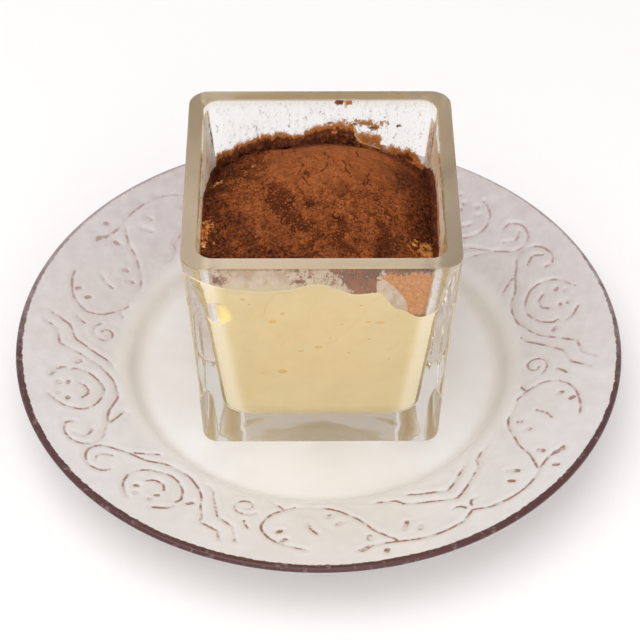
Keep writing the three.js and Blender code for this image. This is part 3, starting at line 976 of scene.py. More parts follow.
def crack_depths(spots, sway, grainy):
    """How deep the cracks are, 0 to 1: exp(-(g/w)^2) of the distance g to a crack that wanders and
    breaks off by noise, and thin veins along the zero lines of a noise where the cocoa is smooth."""
    wander = 0.7 * two_noises(spots, 1.3, SEED + 31)
    crack = np.zeros(spots.shape[:-1])
    for stroke in CRACKS:
        gap = distance_to(spots + wander, smooth_curve(stroke, 40))
        crack = np.maximum(crack, np.exp(-((gap / CRACK_WIDTH) ** 2)))
    crack *= smooth_step(-0.7, -0.1, soft_noise(spots, 1.8, SEED + 35))
    drawn_out = np.stack([spots[..., 0] + 1.5 * sway, 0.35 * spots[..., 1]], -1)
    veins = 1 - smooth_step(0.0, 0.045, np.abs(soft_noise(drawn_out, 4.2, SEED + 33)))
    veins *= smooth_step(0.1, 0.5, soft_noise(spots, 6, SEED + 34))
    return np.maximum(crack, 0.6 * veins * (1 - grainy))


def hollow_depths(x, y):
    """Each hollow's depth d exp(-(r/R)^3) at a distance r from its middle, one layer for each."""
    return np.array([deep * np.exp(-((np.hypot(x - cx, y - cy) / radius) ** 3))
                     for cx, cy, radius, deep in HOLLOWS])


def wall_stains(spots, x, y):
    """Where the cocoa is wet, in ragged strips along the walls and in spots, and where cream shows."""
    ragged = 5 * layered_noise(spots, 7, 5, SEED + 41)
    left = 1 - smooth_step(1.0, 11 + 11 * smooth_step(8, -14, y), x + MOUND_HALF + 1.4 * ragged)
    right = 1 - smooth_step(2.0, 13, MOUND_HALF - x + ragged + 0.1 * np.abs(y + 2))
    behind = smooth_step(21, 27, y + 0.4 * ragged)
    front = 0.9 * (1 - smooth_step(-1, 8, y + 0.25 * np.abs(x + 15) + 27 + ragged))
    wet = np.max([left, right, behind, front, spots_at(x, y, WET_SPOTS)], 0)
    return {"wet": wet, "cream": spots_at(x, y, CREAM_SPOTS)}


def crust_shape(sizes):
    """The mound's spots, their depths, what the cocoa looks like at each (tone with painted light on the
    crest and crumb tops, painted shade in low places, wet and cream) and how grainy it is. Crumbs, lumps,
    cracks and hollows stand on the mound and fade out at the wall."""
    spots = square_spots(CRUST_STEPS)
    depth, share = mound_depth(spots)
    x, y = spots[..., 0], spots[..., 1]
    sway = 4 * layered_noise(spots, 9, 3, SEED + 20)
    grainy = graininess(x, y, sway)
    crack = crack_depths(spots, sway, grainy)
    hollows = hollow_depths(x, y)

    relief = sizes.crumb_height / MM
    warp = two_noises(spots, 1.6, SEED + 16)
    near, second = crumb_noise(spots + 0.35 * warp, 1.35, SEED + 21)
    wide_near, _ = crumb_noise(spots + 0.6 * warp, 2.9, SEED + 23)
    rough = layered_noise(spots, 3.2, 5, SEED + 27)
    clump = 1 - 1.5 * near
    height = relief * grainy * (0.75 * clump + 1.1 * (0.5 - wide_near) + 1.5 * rough)
    height += relief * (1 - grainy) * 0.45 * rough
    height += 0.55 * layered_noise(spots, 11, 2, SEED + 25)
    height -= 0.55 * crack + 1.3 * hollows.sum(0)
    to_wall = (1 - share) * np.linalg.norm(spots - CROWN, axis=-1) / np.maximum(share, 0.05)
    wall_fade = smooth_step(0, 1.2, to_wall)
    depth = depth - height * (0.25 + 0.75 * wall_fade) - 0.3 * (1 - wall_fade)

    # Painted light and shade: lighter on the crest and on the crumbs' tops, darker in low places, between
    # crumbs, in cracks and in hollows.
    tone = layered_noise(spots + warp, 2.2, 4, SEED + 45)
    low = 0.5 - 0.5 * height / relief + 1.3 * hollows.max(0) - 0.7 * tone
    pit = smooth_step(0.3, 1.1, low + 0.25 * (second - near < 0.12))
    pit = np.clip(pit * (0.2 + 0.8 * grainy) + 0.9 * crack, 0, 1)
    crumb_top_light = smooth_step(-0.2, 0.7, tone + 0.4 * clump)
    tone_and_top_light = np.clip((1 - grainy) * (0.7 + 0.5 * tone) + grainy * crumb_top_light, 0, 1)
    return spots, depth, {"tone_and_top_light": tone_and_top_light, "pit": pit, **wall_stains(spots, x, y)}, grainy


TUCK_SHARE = 0.96
TUCK_DOWN = 1.8
UNDER_CROWN = 4.5


def make_crust(shape, material):
    """The crust is the grid lifted to its depths, closed below by a ring tucked into the custard and a
    point under the crown."""
    spots, depth, looks, _ = shape
    rows, columns = depth.shape
    top = np.concatenate([spots, (GLASS_TALL - depth)[..., None]], -1).reshape(-1, 3)
    number = np.arange(rows * columns).reshape(rows, columns)
    loop = np.concatenate([number[0, :-1], number[:-1, -1], number[-1, :0:-1], number[:0:-1, 0]])
    tucked = top[loop]
    tucked[:, :2] = CROWN + (tucked[:, :2] - CROWN) * TUCK_SHARE
    tucked[:, 2] -= TUCK_DOWN
    below = len(top) + np.arange(len(loop))
    points = np.vstack([top, tucked, [[*CROWN, GLASS_TALL - CROWN_DEPTH - UNDER_CROWN]]])
    side = np.stack([np.roll(loop, -1), loop, below, np.roll(below, -1)], -1)
    triangles = np.stack([np.roll(below, -1), below, np.full(len(loop), len(points) - 1)], -1)
    extra = np.zeros(len(points) - len(top))
    attributes = {key: np.append(values, extra) for key, values in looks.items()}
    quads = np.vstack([grid_quads(rows, columns), side])
    new_piece("CocoaCrust", material, in_place(points), quads, triangles, attributes, "cocoa", "cocoa")


def make_grains(sizes, shape, material):
    """Loose crumbs: twenty-sided balls, squeezed and turned at random, on spots of the crust picked with
    more weight where it is grainy."""
    spots, depth, looks, grainy = shape
    surface = np.concatenate([spots, (GLASS_TALL - depth)[..., None]], -1).reshape(-1, 3)
    chance = np.random.default_rng(SEED)
    count = sizes.grain_count
    weight = (0.004 + grainy.ravel()) * (1 - 0.6 * looks["wet"].ravel())
    picked = chance.choice(len(surface), count, p=weight / weight.sum())
    golden = (1 + 5**0.5) / 2
    ball = np.array([(0, a, b * golden) for a, b in product((-1, 1), repeat=2)])
    ball = np.vstack([ball, ball[:, [2, 0, 1]], ball[:, [1, 2, 0]]]) / math.hypot(1, golden)
    radius = sizes.grain_size / MM / 2 * chance.lognormal(0, 0.38, count)
    squeeze = chance.uniform(0.6, 1.3, (count, 1, 3)) * radius[:, None, None]
    lumps = 1 + chance.uniform(-0.3, 0.3, (count, len(ball), 1))
    shaped = np.einsum("nij,nvj->nvi", random_turns(chance, count), ball * lumps * squeeze)
    home = surface[picked] + chance.uniform(-0.12, 0.12, (count, 3))
    inside = np.abs(home[:, :2]).max(1) < cavity_half(home[:, 2]) - 1.2
    shaped, home, picked = shaped[inside], home[inside], picked[inside]
    home[:, 2] += 0.3 * radius[inside]
    points = (home[:, None] + shaped).reshape(-1, 3)
    triangles = hull_faces(ball) + np.arange(len(home))[:, None, None] * len(ball)
    # Each grain has a random tone; the darkest are made darker still.
    tone = chance.uniform(0, 1, len(home)) ** 1.4
    each = {"tone_and_top_light": tone, "pit": 0.5 * (tone < 0.12)}
    each.update({key: looks[key].ravel()[picked] for key in ("wet", "cream")})
    attributes = {key: np.repeat(values, len(ball)) for key, values in each.items()}
    new_piece("CocoaGrains", material, in_place(points), [], triangles, attributes, finish="cocoa")


def hull_faces(ball):
    """The twenty triangles of the ball's twelve corners: every three one edge apart, facing out."""
    edge = np.sort(np.linalg.norm(ball - ball[0], axis=1))[1]
    joined = np.abs(np.linalg.norm(ball[:, None] - ball[None], axis=-1) - edge) < 1e-6
    corners = np.arange(len(ball))
    a, b, c = (each.ravel() for each in np.meshgrid(corners, corners, corners, indexing="ij"))
    kept = (a < b) & (a < c) & joined[a, b] & joined[b, c] & joined[a, c]
    a, b, c = a[kept], b[kept], c[kept]
    outward = np.einsum("ij,ij->i", np.cross(ball[b] - ball[a], ball[c] - ball[a]), ball[a]) > 0
    return np.stack([a, b, c], -1)[outward]


def random_turns(chance, count):
    """Random rotation matrices, from unit quaternions with normally spread parts."""
    q = chance.normal(size=(count, 4))
    w, x, y, z = (q / np.linalg.norm(q, axis=1, keepdims=True)).T
    rows = [
        [1 - 2 * (y * y + z * z), 2 * (x * y - z * w), 2 * (x * z + y * w)],
        [2 * (x * y + z * w), 1 - 2 * (x * x + z * z), 2 * (y * z - x * w)],
        [2 * (x * z - y * w), 2 * (y * z + x * w), 1 - 2 * (x * x + y * y)],
    ]
    return np.moveaxis(np.array(rows), -1, 0)


# ---- What sticks to the glass ----

WALL_HALF = 36.8  # half a side of the cavity, a little below the rim
SIDES = {"front": 0, "right": 1, "back": 2, "left": 3}

# Where the residue ends above the mound, on each side as (place along it, depth of its brown edge, depth
# of the halo).
RESIDUE_TOP = {
    "right": [
        (-30, 14.5, 11.0), (-17, 13.0, 9.6), (-5, 11.8, 8.4), (3, 10.8, 7.6), (9, 11.2, 8.0),
        (17, 13.0, 9.6), (25, 17.4, 14.0), (33, 24.0, 20.6),
    ],
    "back": [
        (35.6, 25.4, 22.0), (33.2, 23.2, 20.0), (29.8, 21.2, 18.2), (26.4, 20.0, 16.8),
        (22.6, 20.2, 16.8), (20.6, 19.2, 15.4), (17.0, 18.3, 12.4), (13.9, 17.3, 11.0),
        (12.4, 15.0, 10.4), (11.8, 12.2, 9.6), (10.6, 11.4, 9.4), (7.5, 11.0, 9.2), (5.9, 9.6, 8.4),
        (4.9, 10.8, 8.4), (0.9, 11.4, 7.6), (-1.6, 12.0, 8.6), (-3.3, 13.0, 10.0), (-5.9, 14.6, 11.2),
        (-8.5, 15.6, 12.6), (-11.1, 14.4, 11.2), (-16.4, 14.8, 11.8), (-21.0, 16.0, 12.8),
        (-26.3, 18.4, 15.2), (-31.4, 21.2, 18.4), (-35.4, 22.6, 20.4),
    ],
    "left": [
        (33, 23.4, 21.6), (26, 20.0, 18.4), (19.3, 16.8, 15.2), (9.9, 12.2, 10.6), (0, 8.0, 6.6),
        (-8, 8.0, 6.6), (-26, 7.8, 6.4),
    ],
}
# Orange patches on the back, as (x, depth, width, height, strength), and the ridge below the first two.
PATCHES = [
    (15.0, 15.0, 3.0, 2.6, 1.3), (18.4, 15.6, 2.4, 2.8, 1.3), (25.5, 20.4, 4.0, 1.3, 1.0),
    (33.8, 25.0, 3.6, 2.4, 1.1), (4.6, 12.2, 0.9, 0.7, 1.0),
]
NOTCH_RIDGE = [(11.4, 10.8), (12.0, 13.8), (13.8, 16.4), (17.2, 17.8), (20.4, 19.0)]
DRY_GAP = 0.03  # the dry films stand this far off the glass, so they don't show through the rim
LEAST_THICK = 0.03


def wall_way(side, place):
    """The way round the wall of a place along one side: x for the front and back, y for the others."""
    sign = 1 if SIDES[side] < 2 else -1
    return SIDES[side] + 0.5 + sign * place / (2 * WALL_HALF)


def place_on(side, along):
    """The reverse: the place along one side, from the millimetres round the wall."""
    sign = 1 if SIDES[side] < 2 else -1
    return sign * (along - (2 * SIDES[side] + 1) * WALL_HALF)


def spaced_ways(ways, step, more=0):
    """Ways from the first to the last, about a step of millimetres apart, and the millimetres round."""
    length = (ways[-1] - ways[0]) * 2 * WALL_HALF
    way = np.linspace(ways[0], ways[-1], int(length / step) + more)
    return way, way * 2 * WALL_HALF


def noise_along(along, seed):
    """Ragged noise for an edge that runs round the wall."""
    return layered_noise(np.stack([along, 0 * along], -1), 3.2, 4, seed)


def shore_below(way, extra):
    """The depth a little below the shoreline, all round the wall."""
    return shore_depth(level_bearing(way % 4)) + extra


def sheet_on_wall(name, way, depth, inset, attributes, material):
    """A thin closed sheet that follows the wall, from just off the glass to the inset."""
    front = wall_point(way % 4, depth, DRY_GAP + inset)
    back = wall_point(way % 4, depth, DRY_GAP)
    points, quads = slab(front[:, ::-1], back[:, ::-1])
    attributes = {key: np.tile(values[:, ::-1].ravel(), 2) for key, values in attributes.items()}
    new_piece(name, material, in_place(points), quads, attributes=attributes, finish="cocoa")


def smear(name, side, stops, thick, ragged, material, looks, low=None, rows=28, feather=1.5):
    """A film between a top edge and the shoreline, or a depth of its own. stops are (place, depth of the
    top edge) in the order of the way round. Its edges are ragged and it thins towards them. looks gives
    what it looks like at each spot."""
    ways = np.array([wall_way(side, place) for place, _ in stops])
    way, along = spaced_ways(ways, 0.3, 8)
    top = np.interp(way, ways, [depth for _, depth in stops]) + ragged * noise_along(along, SEED + 50)
    bottom = shore_below(way, 0.8) if low is None else low + ragged * noise_along(along, SEED + 51)
    depth = bottom + (top - bottom) * np.linspace(0, 1, rows)[:, None]
    at = np.stack(np.broadcast_arrays(along, depth), -1)
    inner = np.minimum(depth - top, np.minimum(along - along[0], along[-1] - along))
    if low is not None:
        inner = np.minimum(inner, bottom - depth)
    swell = thick * smooth_step(0, feather, inner) * (0.65 + 0.5 * layered_noise(at, 2.2, 3, SEED + 60))
    attributes = {"cover": smooth_step(0, feather * 0.8, inner), **looks(at[..., 0], at[..., 1])}
    sheet_on_wall(name, way, depth, LEAST_THICK + swell, attributes, material)


def make_residue(sizes, material):
    """The brown cocoa on the wall above the mound. deep is the distance in millimetres below its brown
    edge, with tufts. It thickens with that, and above the edge only the thin halo is left."""
    tops = RESIDUE_TOP.items()
    stops = [(wall_way(side, place), *depths) for side, rows in tops for place, *depths in rows]
    ways, browns, halos = np.array(stops).T
    way, along = spaced_ways(ways, 0.33)
    edge = np.interp(way, ways, browns) + 0.5 * noise_along(along, SEED + 50)
    halo_top = np.interp(way, ways, halos)
    top = np.minimum(halo_top, edge - 1.0) - 1.2
    bottom = np.maximum(shore_below(way, 1.2), edge + 0.6)
    depth = bottom + (top - bottom) * np.linspace(0, 1, 64)[:, None]
    at = np.stack(np.broadcast_arrays(along, depth), -1)
    deep = depth - edge + 1.1 * layered_noise(at * np.array([1, 0.4]), 2.0, 4, SEED + 61)
    halo = smooth_step(-0.6, 2.2, depth - halo_top) * (0.6 + 0.4 * smooth_step(-4, -0.5, deep))
    x = place_on("back", at[..., 0])
    patch = spots_at(x, depth, PATCHES)
    off_ridge = distance_to(np.stack([x, depth], -1), smooth_curve(NOTCH_RIDGE, 20))
    ridge = 0.8 * (1 - smooth_step(0.1, 0.5, off_ridge + 0.2 * layered_noise(at, 1.5, 3, SEED + 63)))
    lumps = 0.6 + 0.7 * layered_noise(at, 2.2, 4, SEED + 60)
    inset = sizes.residue_thickness / MM * lumps * smooth_step(-0.2, 3.0, deep)
    inset += LEAST_THICK + 0.06 * halo + 0.35 * patch * lumps + 0.2 * ridge
    ends = smooth_step(0, 2, np.minimum(along - along[0], along[-1] - along))
    attributes = {"deep": deep, "halo": halo * ends, "patch": patch, "ridge": ridge}
    sheet_on_wall("BackResidue", way, depth, inset, attributes, material)


def above_shore(along, depth):
    """How far above the shoreline a spot on the wall is."""
    return shore_below(along.ravel() / (2 * WALL_HALF), 0).reshape(along.shape) - depth


def front_looks(along, depth):
    """Where the film on the front is mauve brown, orange tan or blurred into the custard. The mauve brown
    is
    partly painted shade: a dark film where the cocoa's shaded front lies behind the glass. A pale streak
    runs through it."""
    x = place_on("front", along)
    place = np.stack([x, depth], -1)
    sway = 1.6 * layered_noise(place, 4, 3, SEED + 70)
    orange = smooth_step(16, 20.5, x + sway) * (1 - smooth_step(33.5, 35.5, x + sway))
    orange *= smooth_step(2.5, 7.0, depth + sway)
    # Painted shade in part: this brown covers the cocoa's shaded front behind the glass.
    brown = smooth_step(1.0, 5.5, x + 0.8 * sway - 0.8 * (depth - 5)) * (1 - orange)
    brown *= 1 - smooth_step(33.5, 35.5, x + sway)
    faint = smooth_step(-13, -8, x + sway) * (1 - smooth_step(3, 8, x + sway))
    brown = np.maximum(brown, 0.38 * faint)
    spots = [
        (-31.6, 7.6, 2.8, 3.0, 0.8), (-31.0, 3.6, 1.8, 2.6, 0.6), (-7.6, 3.6, 2.8, 1.2, 0.75),
        (-7.2, 8.2, 2.8, 1.3, 0.8), (-3.6, 6.4, 0.7, 1.0, 0.8), (-9.8, 6.0, 0.9, 1.8, 0.6),
        (11.4, 13.6, 2.8, 1.6, 1.2), (30.5, 24.0, 3.6, 1.2, 0.8),
    ]
    brown = np.maximum(brown, spots_at(x, depth, spots))
    streak = distance_to(place, line((18.0, 9.0), (26.2, 23.5), 60))
    wide = 1.1 + 1.3 * np.sin(np.pi * np.clip((depth - 8) / 16, 0, 1))
    pale = 0.95 * (1 - smooth_step(wide, wide + 1.0, streak + 0.5 * sway))
    yellow = spots_at(x, depth, [(17.6, 15.2, 2.6, 2.2, 1.3), (3.4, 12.0, 4.0, 1.6, 0.8)])
    haze = 1 - smooth_step(0, 5.0, above_shore(along, depth) + 0.6 * sway)
    haze = np.maximum(haze * hazy(x), yellow)
    bare = (1 - pale) * (1 - np.minimum(yellow, 1))
    return {"brown": brown * bare, "orange": orange * (1 - pale), "haze": haze}


def back_looks(along, depth):
    """Tan dust in a band, brown spots in it, and a smudge that hangs from the rim."""
    x = place_on("back", along)
    band = smooth_step(4, 8, x) * (1 - smooth_step(20, 27, x)) * np.exp(-(((depth - 9.2) / 1.7) ** 2))
    tan = [(8.8, 0.8, 1.7, 1.5, 1.3), (18.4, 10.4, 2.2, 1.6, 0.8), (12.4, 8.6, 3.4, 1.3, 0.7)]
    orange = np.maximum(0.62 * band, spots_at(x, depth, tan))
    dark = [
        (6.2, 0.6, 1.7, 1.6, 1.3), (11.2, 9.5, 1.2, 0.7, 0.9), (17.6, 11.0, 1.7, 0.7, 0.7),
        (25.6, 10.3, 0.9, 0.6, 0.7), (24.3, 14.8, 0.5, 0.6, 0.6), (34.2, 17.8, 0.7, 0.5, 0.6),
        (-10.4, 10.4, 0.6, 1.0, 0.7), (3.2, 9.0, 0.8, 0.5, 0.8), (-24, 14.6, 0.8, 0.7, 0.5),
    ]
    return {"brown": spots_at(x, depth, dark), "orange": orange}


def left_looks(along, depth):
    """A mauve streak in the rear corner and brown specks on the cream."""
    y = place_on("left", along)
    dark = [
        (35.4, 12, 1.5, 8, 0.8), (22, 12.2, 1.2, 0.9, 0.8), (6, 5.2, 1.8, 0.8, 0.8),
        (-6, 4.2, 1.6, 0.6, 0.7),
    ]
    near = np.exp(-((above_shore(along, depth) / 3.5) ** 2))
    return {"brown": spots_at(y, depth, dark), "orange": 0.9 * near}


def right_looks(along, depth):
    """Orange brown where the film meets the cocoa, with specks above it."""
    y = place_on("right", along)
    dark = [(-4.5, 12.2, 0.8, 0.5, 0.9), (-6.6, 13.4, 0.7, 0.5, 0.8), (31, 12, 2.6, 9, 0.65)]
    return {"brown": spots_at(y, depth, dark), "orange": 0.9 * blob(y, depth, (-4, 11.5), 22, 3.4)}


def make_films(sizes):
    """The film on the front, the smears on both sides and the dust on the back."""
    front = [(-35.5, 2.3), (-20, 2.8), (0, 2.6), (14, 2.4), (35, 3.2)]
    cream = film_finish("FrontFilm", sizes, sizes.film_colour, sizes.film_shade, 2.4, (0.1, 0.34))
    smear("FrontFilm", "front", front, sizes.film_thickness / MM, 0.5, cream, front_looks, rows=60)
    left = [(36.2, 2.2), (22, 3.5), (4, 2.8), (-14, 2.4), (-30, 2.6)]
    pale = film_finish("PaleSmear", sizes, sizes.smear_colour, sizes.fringe_colour, 2.6, (0.1, 0.4))
    smear("LeftSmear", "left", left, 0.15, 0.8, pale, left_looks)
    right = [(-24, 3.2), (0, 3.0), (18, 4.5), (35.6, 5)]
    pink = film_finish("PinkSmear", sizes, sizes.pink_colour, sizes.pink_shade, 2.6, (0.2, 0.45))
    smear("RightSmear", "right", right, 0.15, 0.8, pink, right_looks)
    back = [(35, 1), (10, 0.2), (3, 0.2), (-12, 0.8), (-35, 1.4)]
    dust = film_finish("BackDust", sizes, sizes.pink_colour, sizes.mauve_shade, 1.5, (0.48, 0.76), 0.32)
    smear("BackDust", "back", back, 0.05, 0.4, dust, back_looks, low=24, rows=60, feather=0.6)


# ---- Sizes and colours ----


def colour_property(name, description, red, green, blue):
    """A colour to edit, given as display values of 0 to 255."""
    colour = srgb(red, green, blue)
    return bpy.props.FloatVectorProperty(
        name=name, description=description, subtype="COLOR", size=3, min=0, max=1, default=colour
    )


def length_property(name, description, millimetres):
    """A length to edit."""
    metres = millimetres * MM
    return bpy.props.FloatProperty(
        name=name, description=description, subtype="DISTANCE", unit="LENGTH", min=0, default=metres
    )


class DessertSizes(bpy.types.PropertyGroup):
    """Sizes and colours of the pieces."""

    groove_width: length_property("Groove width", "How wide the scrollwork's grooves are", 1.7)
    groove_depth: length_property("Groove depth", "How deep the scrollwork is pressed", 0.3)
    crumb_height: length_property("Crumb height", "How high the cocoa's crumbs stand", 0.5)
    grain_size: length_property("Grain size", "How wide a loose grain of cocoa is", 0.5)
    grain_count: bpy.props.IntProperty(
        name="Grains", description="How many loose grains of cocoa there are", min=0, default=5200
    )
    residue_thickness: length_property("Residue thickness", "How thick the cocoa on the glass is", 1.1)
    film_thickness: length_property("Film thickness", "How thick the film on the front is", 0.25)
    glass_density: bpy.props.FloatProperty(
        name="Glass density", description="How fast the glass darkens light, per metre", min=0, default=4
    )
    glass_tint: colour_property("Glass tint", "Light after a long way through the glass", 219, 198, 165)
    rim_tint: colour_property("Rim tint", "Light through the rim's ground top", 224, 210, 186)
    glaze_colour: colour_property("Glaze", "The plate's glaze", 242, 240, 239)
    glaze_shade: colour_property("Glaze shade", "The glaze where it is a little darker", 236, 232, 230)
    # The wash is partly painted shade; its far colour is painted shade at the back.
    wash_colour: colour_property("Wash", "The thin grey brown wash over the rim", 206, 199, 196)
    wash_far_shade_colour: colour_property("Wash at the back", "The wash on the far side", 192, 180, 180)
    stain_colour: colour_property("Stain", "The brown rubbed into the scrolls", 146, 100, 90)
    edge_colour: colour_property("Edge paint", "The dark paint round the plate's edge", 74, 28, 30)
    edge_far_colour: colour_property("Edge at the back", "The edge paint on the far side", 164, 148, 148)
    edge_worn_colour: colour_property("Worn edge", "The edge paint where it is thin", 158, 138, 134)
    custard_colour: colour_property("Custard", "The custard", 226, 207, 158)
    custard_shade: colour_property("Custard shade", "The custard where it is darker", 221, 201, 151)
    # Painted glow: the custard's even emission, standing in for light that passes through it.
    painted_glow_colour: colour_property("Light through", "The light through the custard", 246, 212, 150)
    painted_glow_strength: bpy.props.FloatProperty(
        name="Light through, strength", description="How strong that light is", min=0, default=0.13
    )
    # Painted reflection: the paler bands at the custard's corners.
    corner_reflection_colour: colour_property("Cream", "The paler bands at the custard's corners", 250, 241, 214)
    pocket_colour: colour_property("Pocket", "The custard inside the air pocket", 252, 228, 140)
    fleck_colour: colour_property("Flecks", "The small amber flecks in the custard", 238, 190, 92)
    cocoa_colour: colour_property("Cocoa", "The dry cocoa", 128, 67, 34)
    # Painted light: this colour goes on the smooth crest and the crumbs' tops.
    cocoa_light: colour_property("Fresh cocoa", "The cocoa where it lies smooth and thick", 158, 89, 48)
    cocoa_glint: colour_property("Cocoa glint", "The lightest grains", 180, 108, 62)
    # Also the painted shade in pits, cracks and hollows.
    cocoa_dark: colour_property("Dark cocoa", "The cocoa in pits and cracks", 80, 38, 20)
    cocoa_wet: colour_property("Wet cocoa", "The cocoa where it has drawn water", 66, 32, 20)
    toast_colour: colour_property("Toast", "Cream stained by cocoa", 182, 106, 52)
    toast_light: colour_property("Toast light", "The same with less cocoa in it", 226, 162, 90)
    shoulder_colour: colour_property("Shoulder", "The cocoa on the glass near its edge", 204, 118, 54)
    halo_colour: colour_property("Halo", "The halo close to the brown", 244, 194, 132)
    fringe_colour: colour_property("Fringe", "The pale halo of the cocoa on the glass", 250, 228, 196)
    pink_colour: colour_property("Pink film", "The film on the right side", 254, 234, 216)
    pink_shade: colour_property("Pink film shade", "The same where it is thicker", 238, 198, 156)
    tan_dark: colour_property("Orange film, dark", "Dark grains in the orange film", 140, 76, 34)
    haze_colour: colour_property("Haze", "The custard's blurred upper edge", 210, 192, 156)
    film_colour: colour_property("Film", "The cream film on the glass", 216, 196, 176)
    smear_colour: colour_property("Smear", "The smear on the left side", 254, 246, 230)
    film_shade: colour_property("Film shade", "The film where it is thicker", 192, 164, 134)
    # On the front film this brown is partly painted shade for the cocoa's shaded front.
    mauve_colour: colour_property("Mauve film", "The film where cocoa shows through it", 94, 42, 12)
    mauve_shade: colour_property("Mauve film shade", "The same where it is thinner", 152, 90, 42)
    orange_colour: colour_property("Orange film", "The film where it is rich in cocoa", 200, 130, 56)
    floor_colour: colour_property("Floor", "The floor under the plate", 250, 248, 247)


# ---- The floor, light and camera ----

CAMERA_TARGET = Vector((0.378, 0.0, 28.429)) * MM
CAMERA_DISTANCE = 678.783 * MM
CAMERA_AZIMUTH = math.radians(-0.591)
CAMERA_ELEVATION = math.radians(44.416)
CAMERA_ROLL = math.radians(0.273)
CAMERA_LENS = 115.82  # millimetres
FILM_WIDTH = 36  # millimetres
FLOOR_REACH = 3000
WORLD_LIGHT = 0.72
LIGHT_BOUNCES = 32  # light turns many times in the thick glass
LAMPS = [
    ("Key", (-0.2, -0.2, 0.95), 0.9, 4.3),
    ("Fill", (0.2, -1.0, 0.45), 0.9, 2.6),
]


def facing(back, roll=0.0):
    """A rotation whose Z axis is back, with X level before the roll about it."""
    back = back.normalized()
    right = Vector((0, 0, 1)).cross(back).normalized()
    up = back.cross(right)
    turned_right = right * math.cos(roll) + up * math.sin(roll)
    turned_up = up * math.cos(roll) - right * math.sin(roll)
    return Matrix((turned_right, turned_up, back)).transposed().to_4x4()


def add_lamp(name, place, size, power):
    """A square area light at the place, in metres, that faces the dessert. Its power is in watts."""
    data = bpy.data.lights.new(name, "AREA")
    data.shape = "SQUARE"
    data.size = size
    data.energy = power
    lamp = bpy.data.objects.new(name, data)
    lamp.matrix_world = Matrix.Translation(place) @ facing(Vector(place))
    bpy.context.scene.collection.objects.link(lamp)


def add_camera():
    """The camera, aimed at its target from its distance, azimuth, elevation and roll."""
    data = bpy.data.cameras.new("Camera")
    data.sensor_width = FILM_WIDTH
    data.lens = CAMERA_LENS
    data.clip_start = 0.01
    data.clip_end = 20
    camera = bpy.data.objects.new("Camera", data)
    level, rise = math.cos(CAMERA_ELEVATION), math.sin(CAMERA_ELEVATION)
    back = Vector((math.sin(CAMERA_AZIMUTH) * level, -math.cos(CAMERA_AZIMUTH) * level, rise))
    place = Matrix.Translation(CAMERA_TARGET + CAMERA_DISTANCE * back)
    camera.matrix_world = place @ facing(back, CAMERA_ROLL)
    bpy.context.scene.collection.objects.link(camera)
    bpy.context.scene.camera = camera


def make_stage(sizes):
    """A pale floor, soft white light from all round, a key from the front left and a fill, and the
    camera."""
    corners = [(-1, -1, 0), (1, -1, 0), (1, 1, 0), (-1, 1, 0)]
    material = plain_finish("PaleFloor", sizes.floor_colour, sizes.floor_colour, 60, 0.8)
    floor = new_piece("Floor", material, FLOOR_REACH * np.array(corners), [(0, 1, 2, 3)])
    scene = bpy.context.scene
    scene.world = bpy.data.worlds.new("Studio")
    scene.world.use_nodes = True
    sky = scene.world.node_tree.nodes["Background"]
    sky.inputs["Color"].default_value = (1, 1, 1, 1)
    sky.inputs["Strength"].default_value = WORLD_LIGHT
    for lamp in LAMPS:
        add_lamp(*lamp)
    add_camera()
    scene.view_settings.view_transform = "Standard"
    scene.cycles.max_bounces = LIGHT_BOUNCES
    scene.cycles.transmission_bounces = LIGHT_BOUNCES
    scene.cycles.glossy_bounces = LIGHT_BOUNCES


# ---- Operators and panel ----


class DESSERT_OT_plate(bpy.types.Operator):
    """Make the embossed plate"""

    bl_idname = "dessert.plate"
    bl_label = "Plate"

    def execute(self, context):
        sizes = context.scene.dessert
        make_plate(sizes, glaze_finish(sizes))
        return {"FINISHED"}


class DESSERT_OT_glass(bpy.types.Operator):
    """Make the square glass"""

    bl_idname = "dessert.glass"
    bl_label = "Glass"

    def execute(self, context):
        make_glass(glass_finish(context.scene.dessert))
        return {"FINISHED"}


class DESSERT_OT_custard(bpy.types.Operator):
    """Make the custard and its flecks"""

    bl_idname = "dessert.custard"
    bl_label = "Custard"

    def execute(self, context):
        sizes = context.scene.dessert
        make_custard(custard_finish(sizes))
        make_flecks(plain_finish("Amber", sizes.fleck_colour, sizes.custard_shade, 0.8, 0.4))
        return {"FINISHED"}


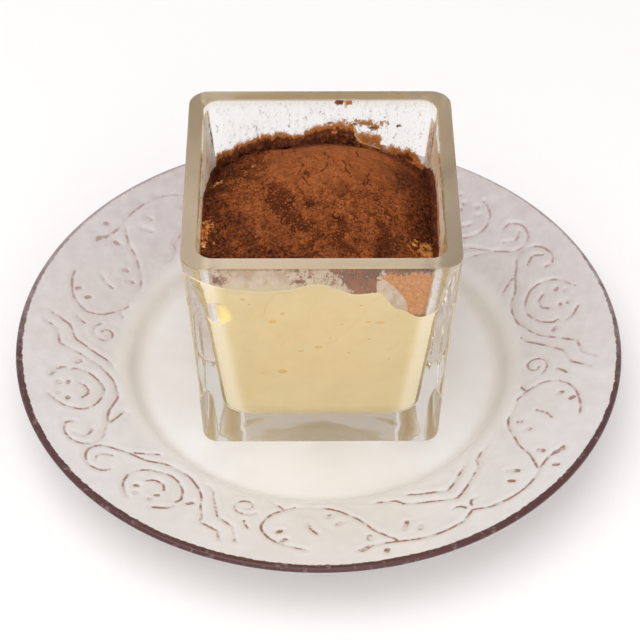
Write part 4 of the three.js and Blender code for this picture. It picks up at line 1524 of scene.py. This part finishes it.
class DESSERT_OT_cocoa(bpy.types.Operator):
    """Make the cocoa crust and its loose grains"""

    bl_idname = "dessert.cocoa"
    bl_label = "Cocoa"

    def execute(self, context):
        sizes = context.scene.dessert
        material, shape = cocoa_finish(sizes), crust_shape(sizes)
        make_crust(shape, material)
        make_grains(sizes, shape, material)
        return {"FINISHED"}


class DESSERT_OT_residue(bpy.types.Operator):
    """Make the cocoa that sticks to the glass above the mound"""

    bl_idname = "dessert.residue"
    bl_label = "Residue"

    def execute(self, context):
        sizes = context.scene.dessert
        make_residue(sizes, residue_finish(sizes))
        return {"FINISHED"}


class DESSERT_OT_films(bpy.types.Operator):
    """Make the thin films and dust on the glass"""

    bl_idname = "dessert.films"
    bl_label = "Films"

    def execute(self, context):
        make_films(context.scene.dessert)
        return {"FINISHED"}


class DESSERT_OT_stage(bpy.types.Operator):
    """Make the floor, the lights and the camera"""

    bl_idname = "dessert.stage"
    bl_label = "Stage"

    def execute(self, context):
        make_stage(context.scene.dessert)
        return {"FINISHED"}


OPERATORS = [
    DESSERT_OT_plate,
    DESSERT_OT_glass,
    DESSERT_OT_custard,
    DESSERT_OT_cocoa,
    DESSERT_OT_residue,
    DESSERT_OT_films,
    DESSERT_OT_stage,
]


class DESSERT_PT_panel(bpy.types.Panel):
    """Buttons for every piece, and its sizes and colours"""

    bl_idname = "DESSERT_PT_panel"
    bl_label = "Custard glass"
    bl_space_type = "VIEW_3D"
    bl_region_type = "UI"
    bl_category = "Dessert"

    def draw(self, context):
        for operator in OPERATORS:
            self.layout.operator(operator.bl_idname)
        for key in DessertSizes.__annotations__:
            self.layout.prop(context.scene.dessert, key)


def register():
    for made in (DessertSizes, *OPERATORS, DESSERT_PT_panel):
        bpy.utils.register_class(made)
    bpy.types.Scene.dessert = bpy.props.PointerProperty(type=DessertSizes)


def unregister():
    del bpy.types.Scene.dessert
    for made in (DESSERT_PT_panel, *reversed(OPERATORS), DessertSizes):
        bpy.utils.unregister_class(made)


def main():
    """Makes every piece and the stage."""
    register()
    bpy.ops.dessert.plate()
    bpy.ops.dessert.glass()
    bpy.ops.dessert.custard()
    bpy.ops.dessert.cocoa()
    bpy.ops.dessert.residue()
    bpy.ops.dessert.films()
    bpy.ops.dessert.stage()


if __name__ == "__main__":
    main()
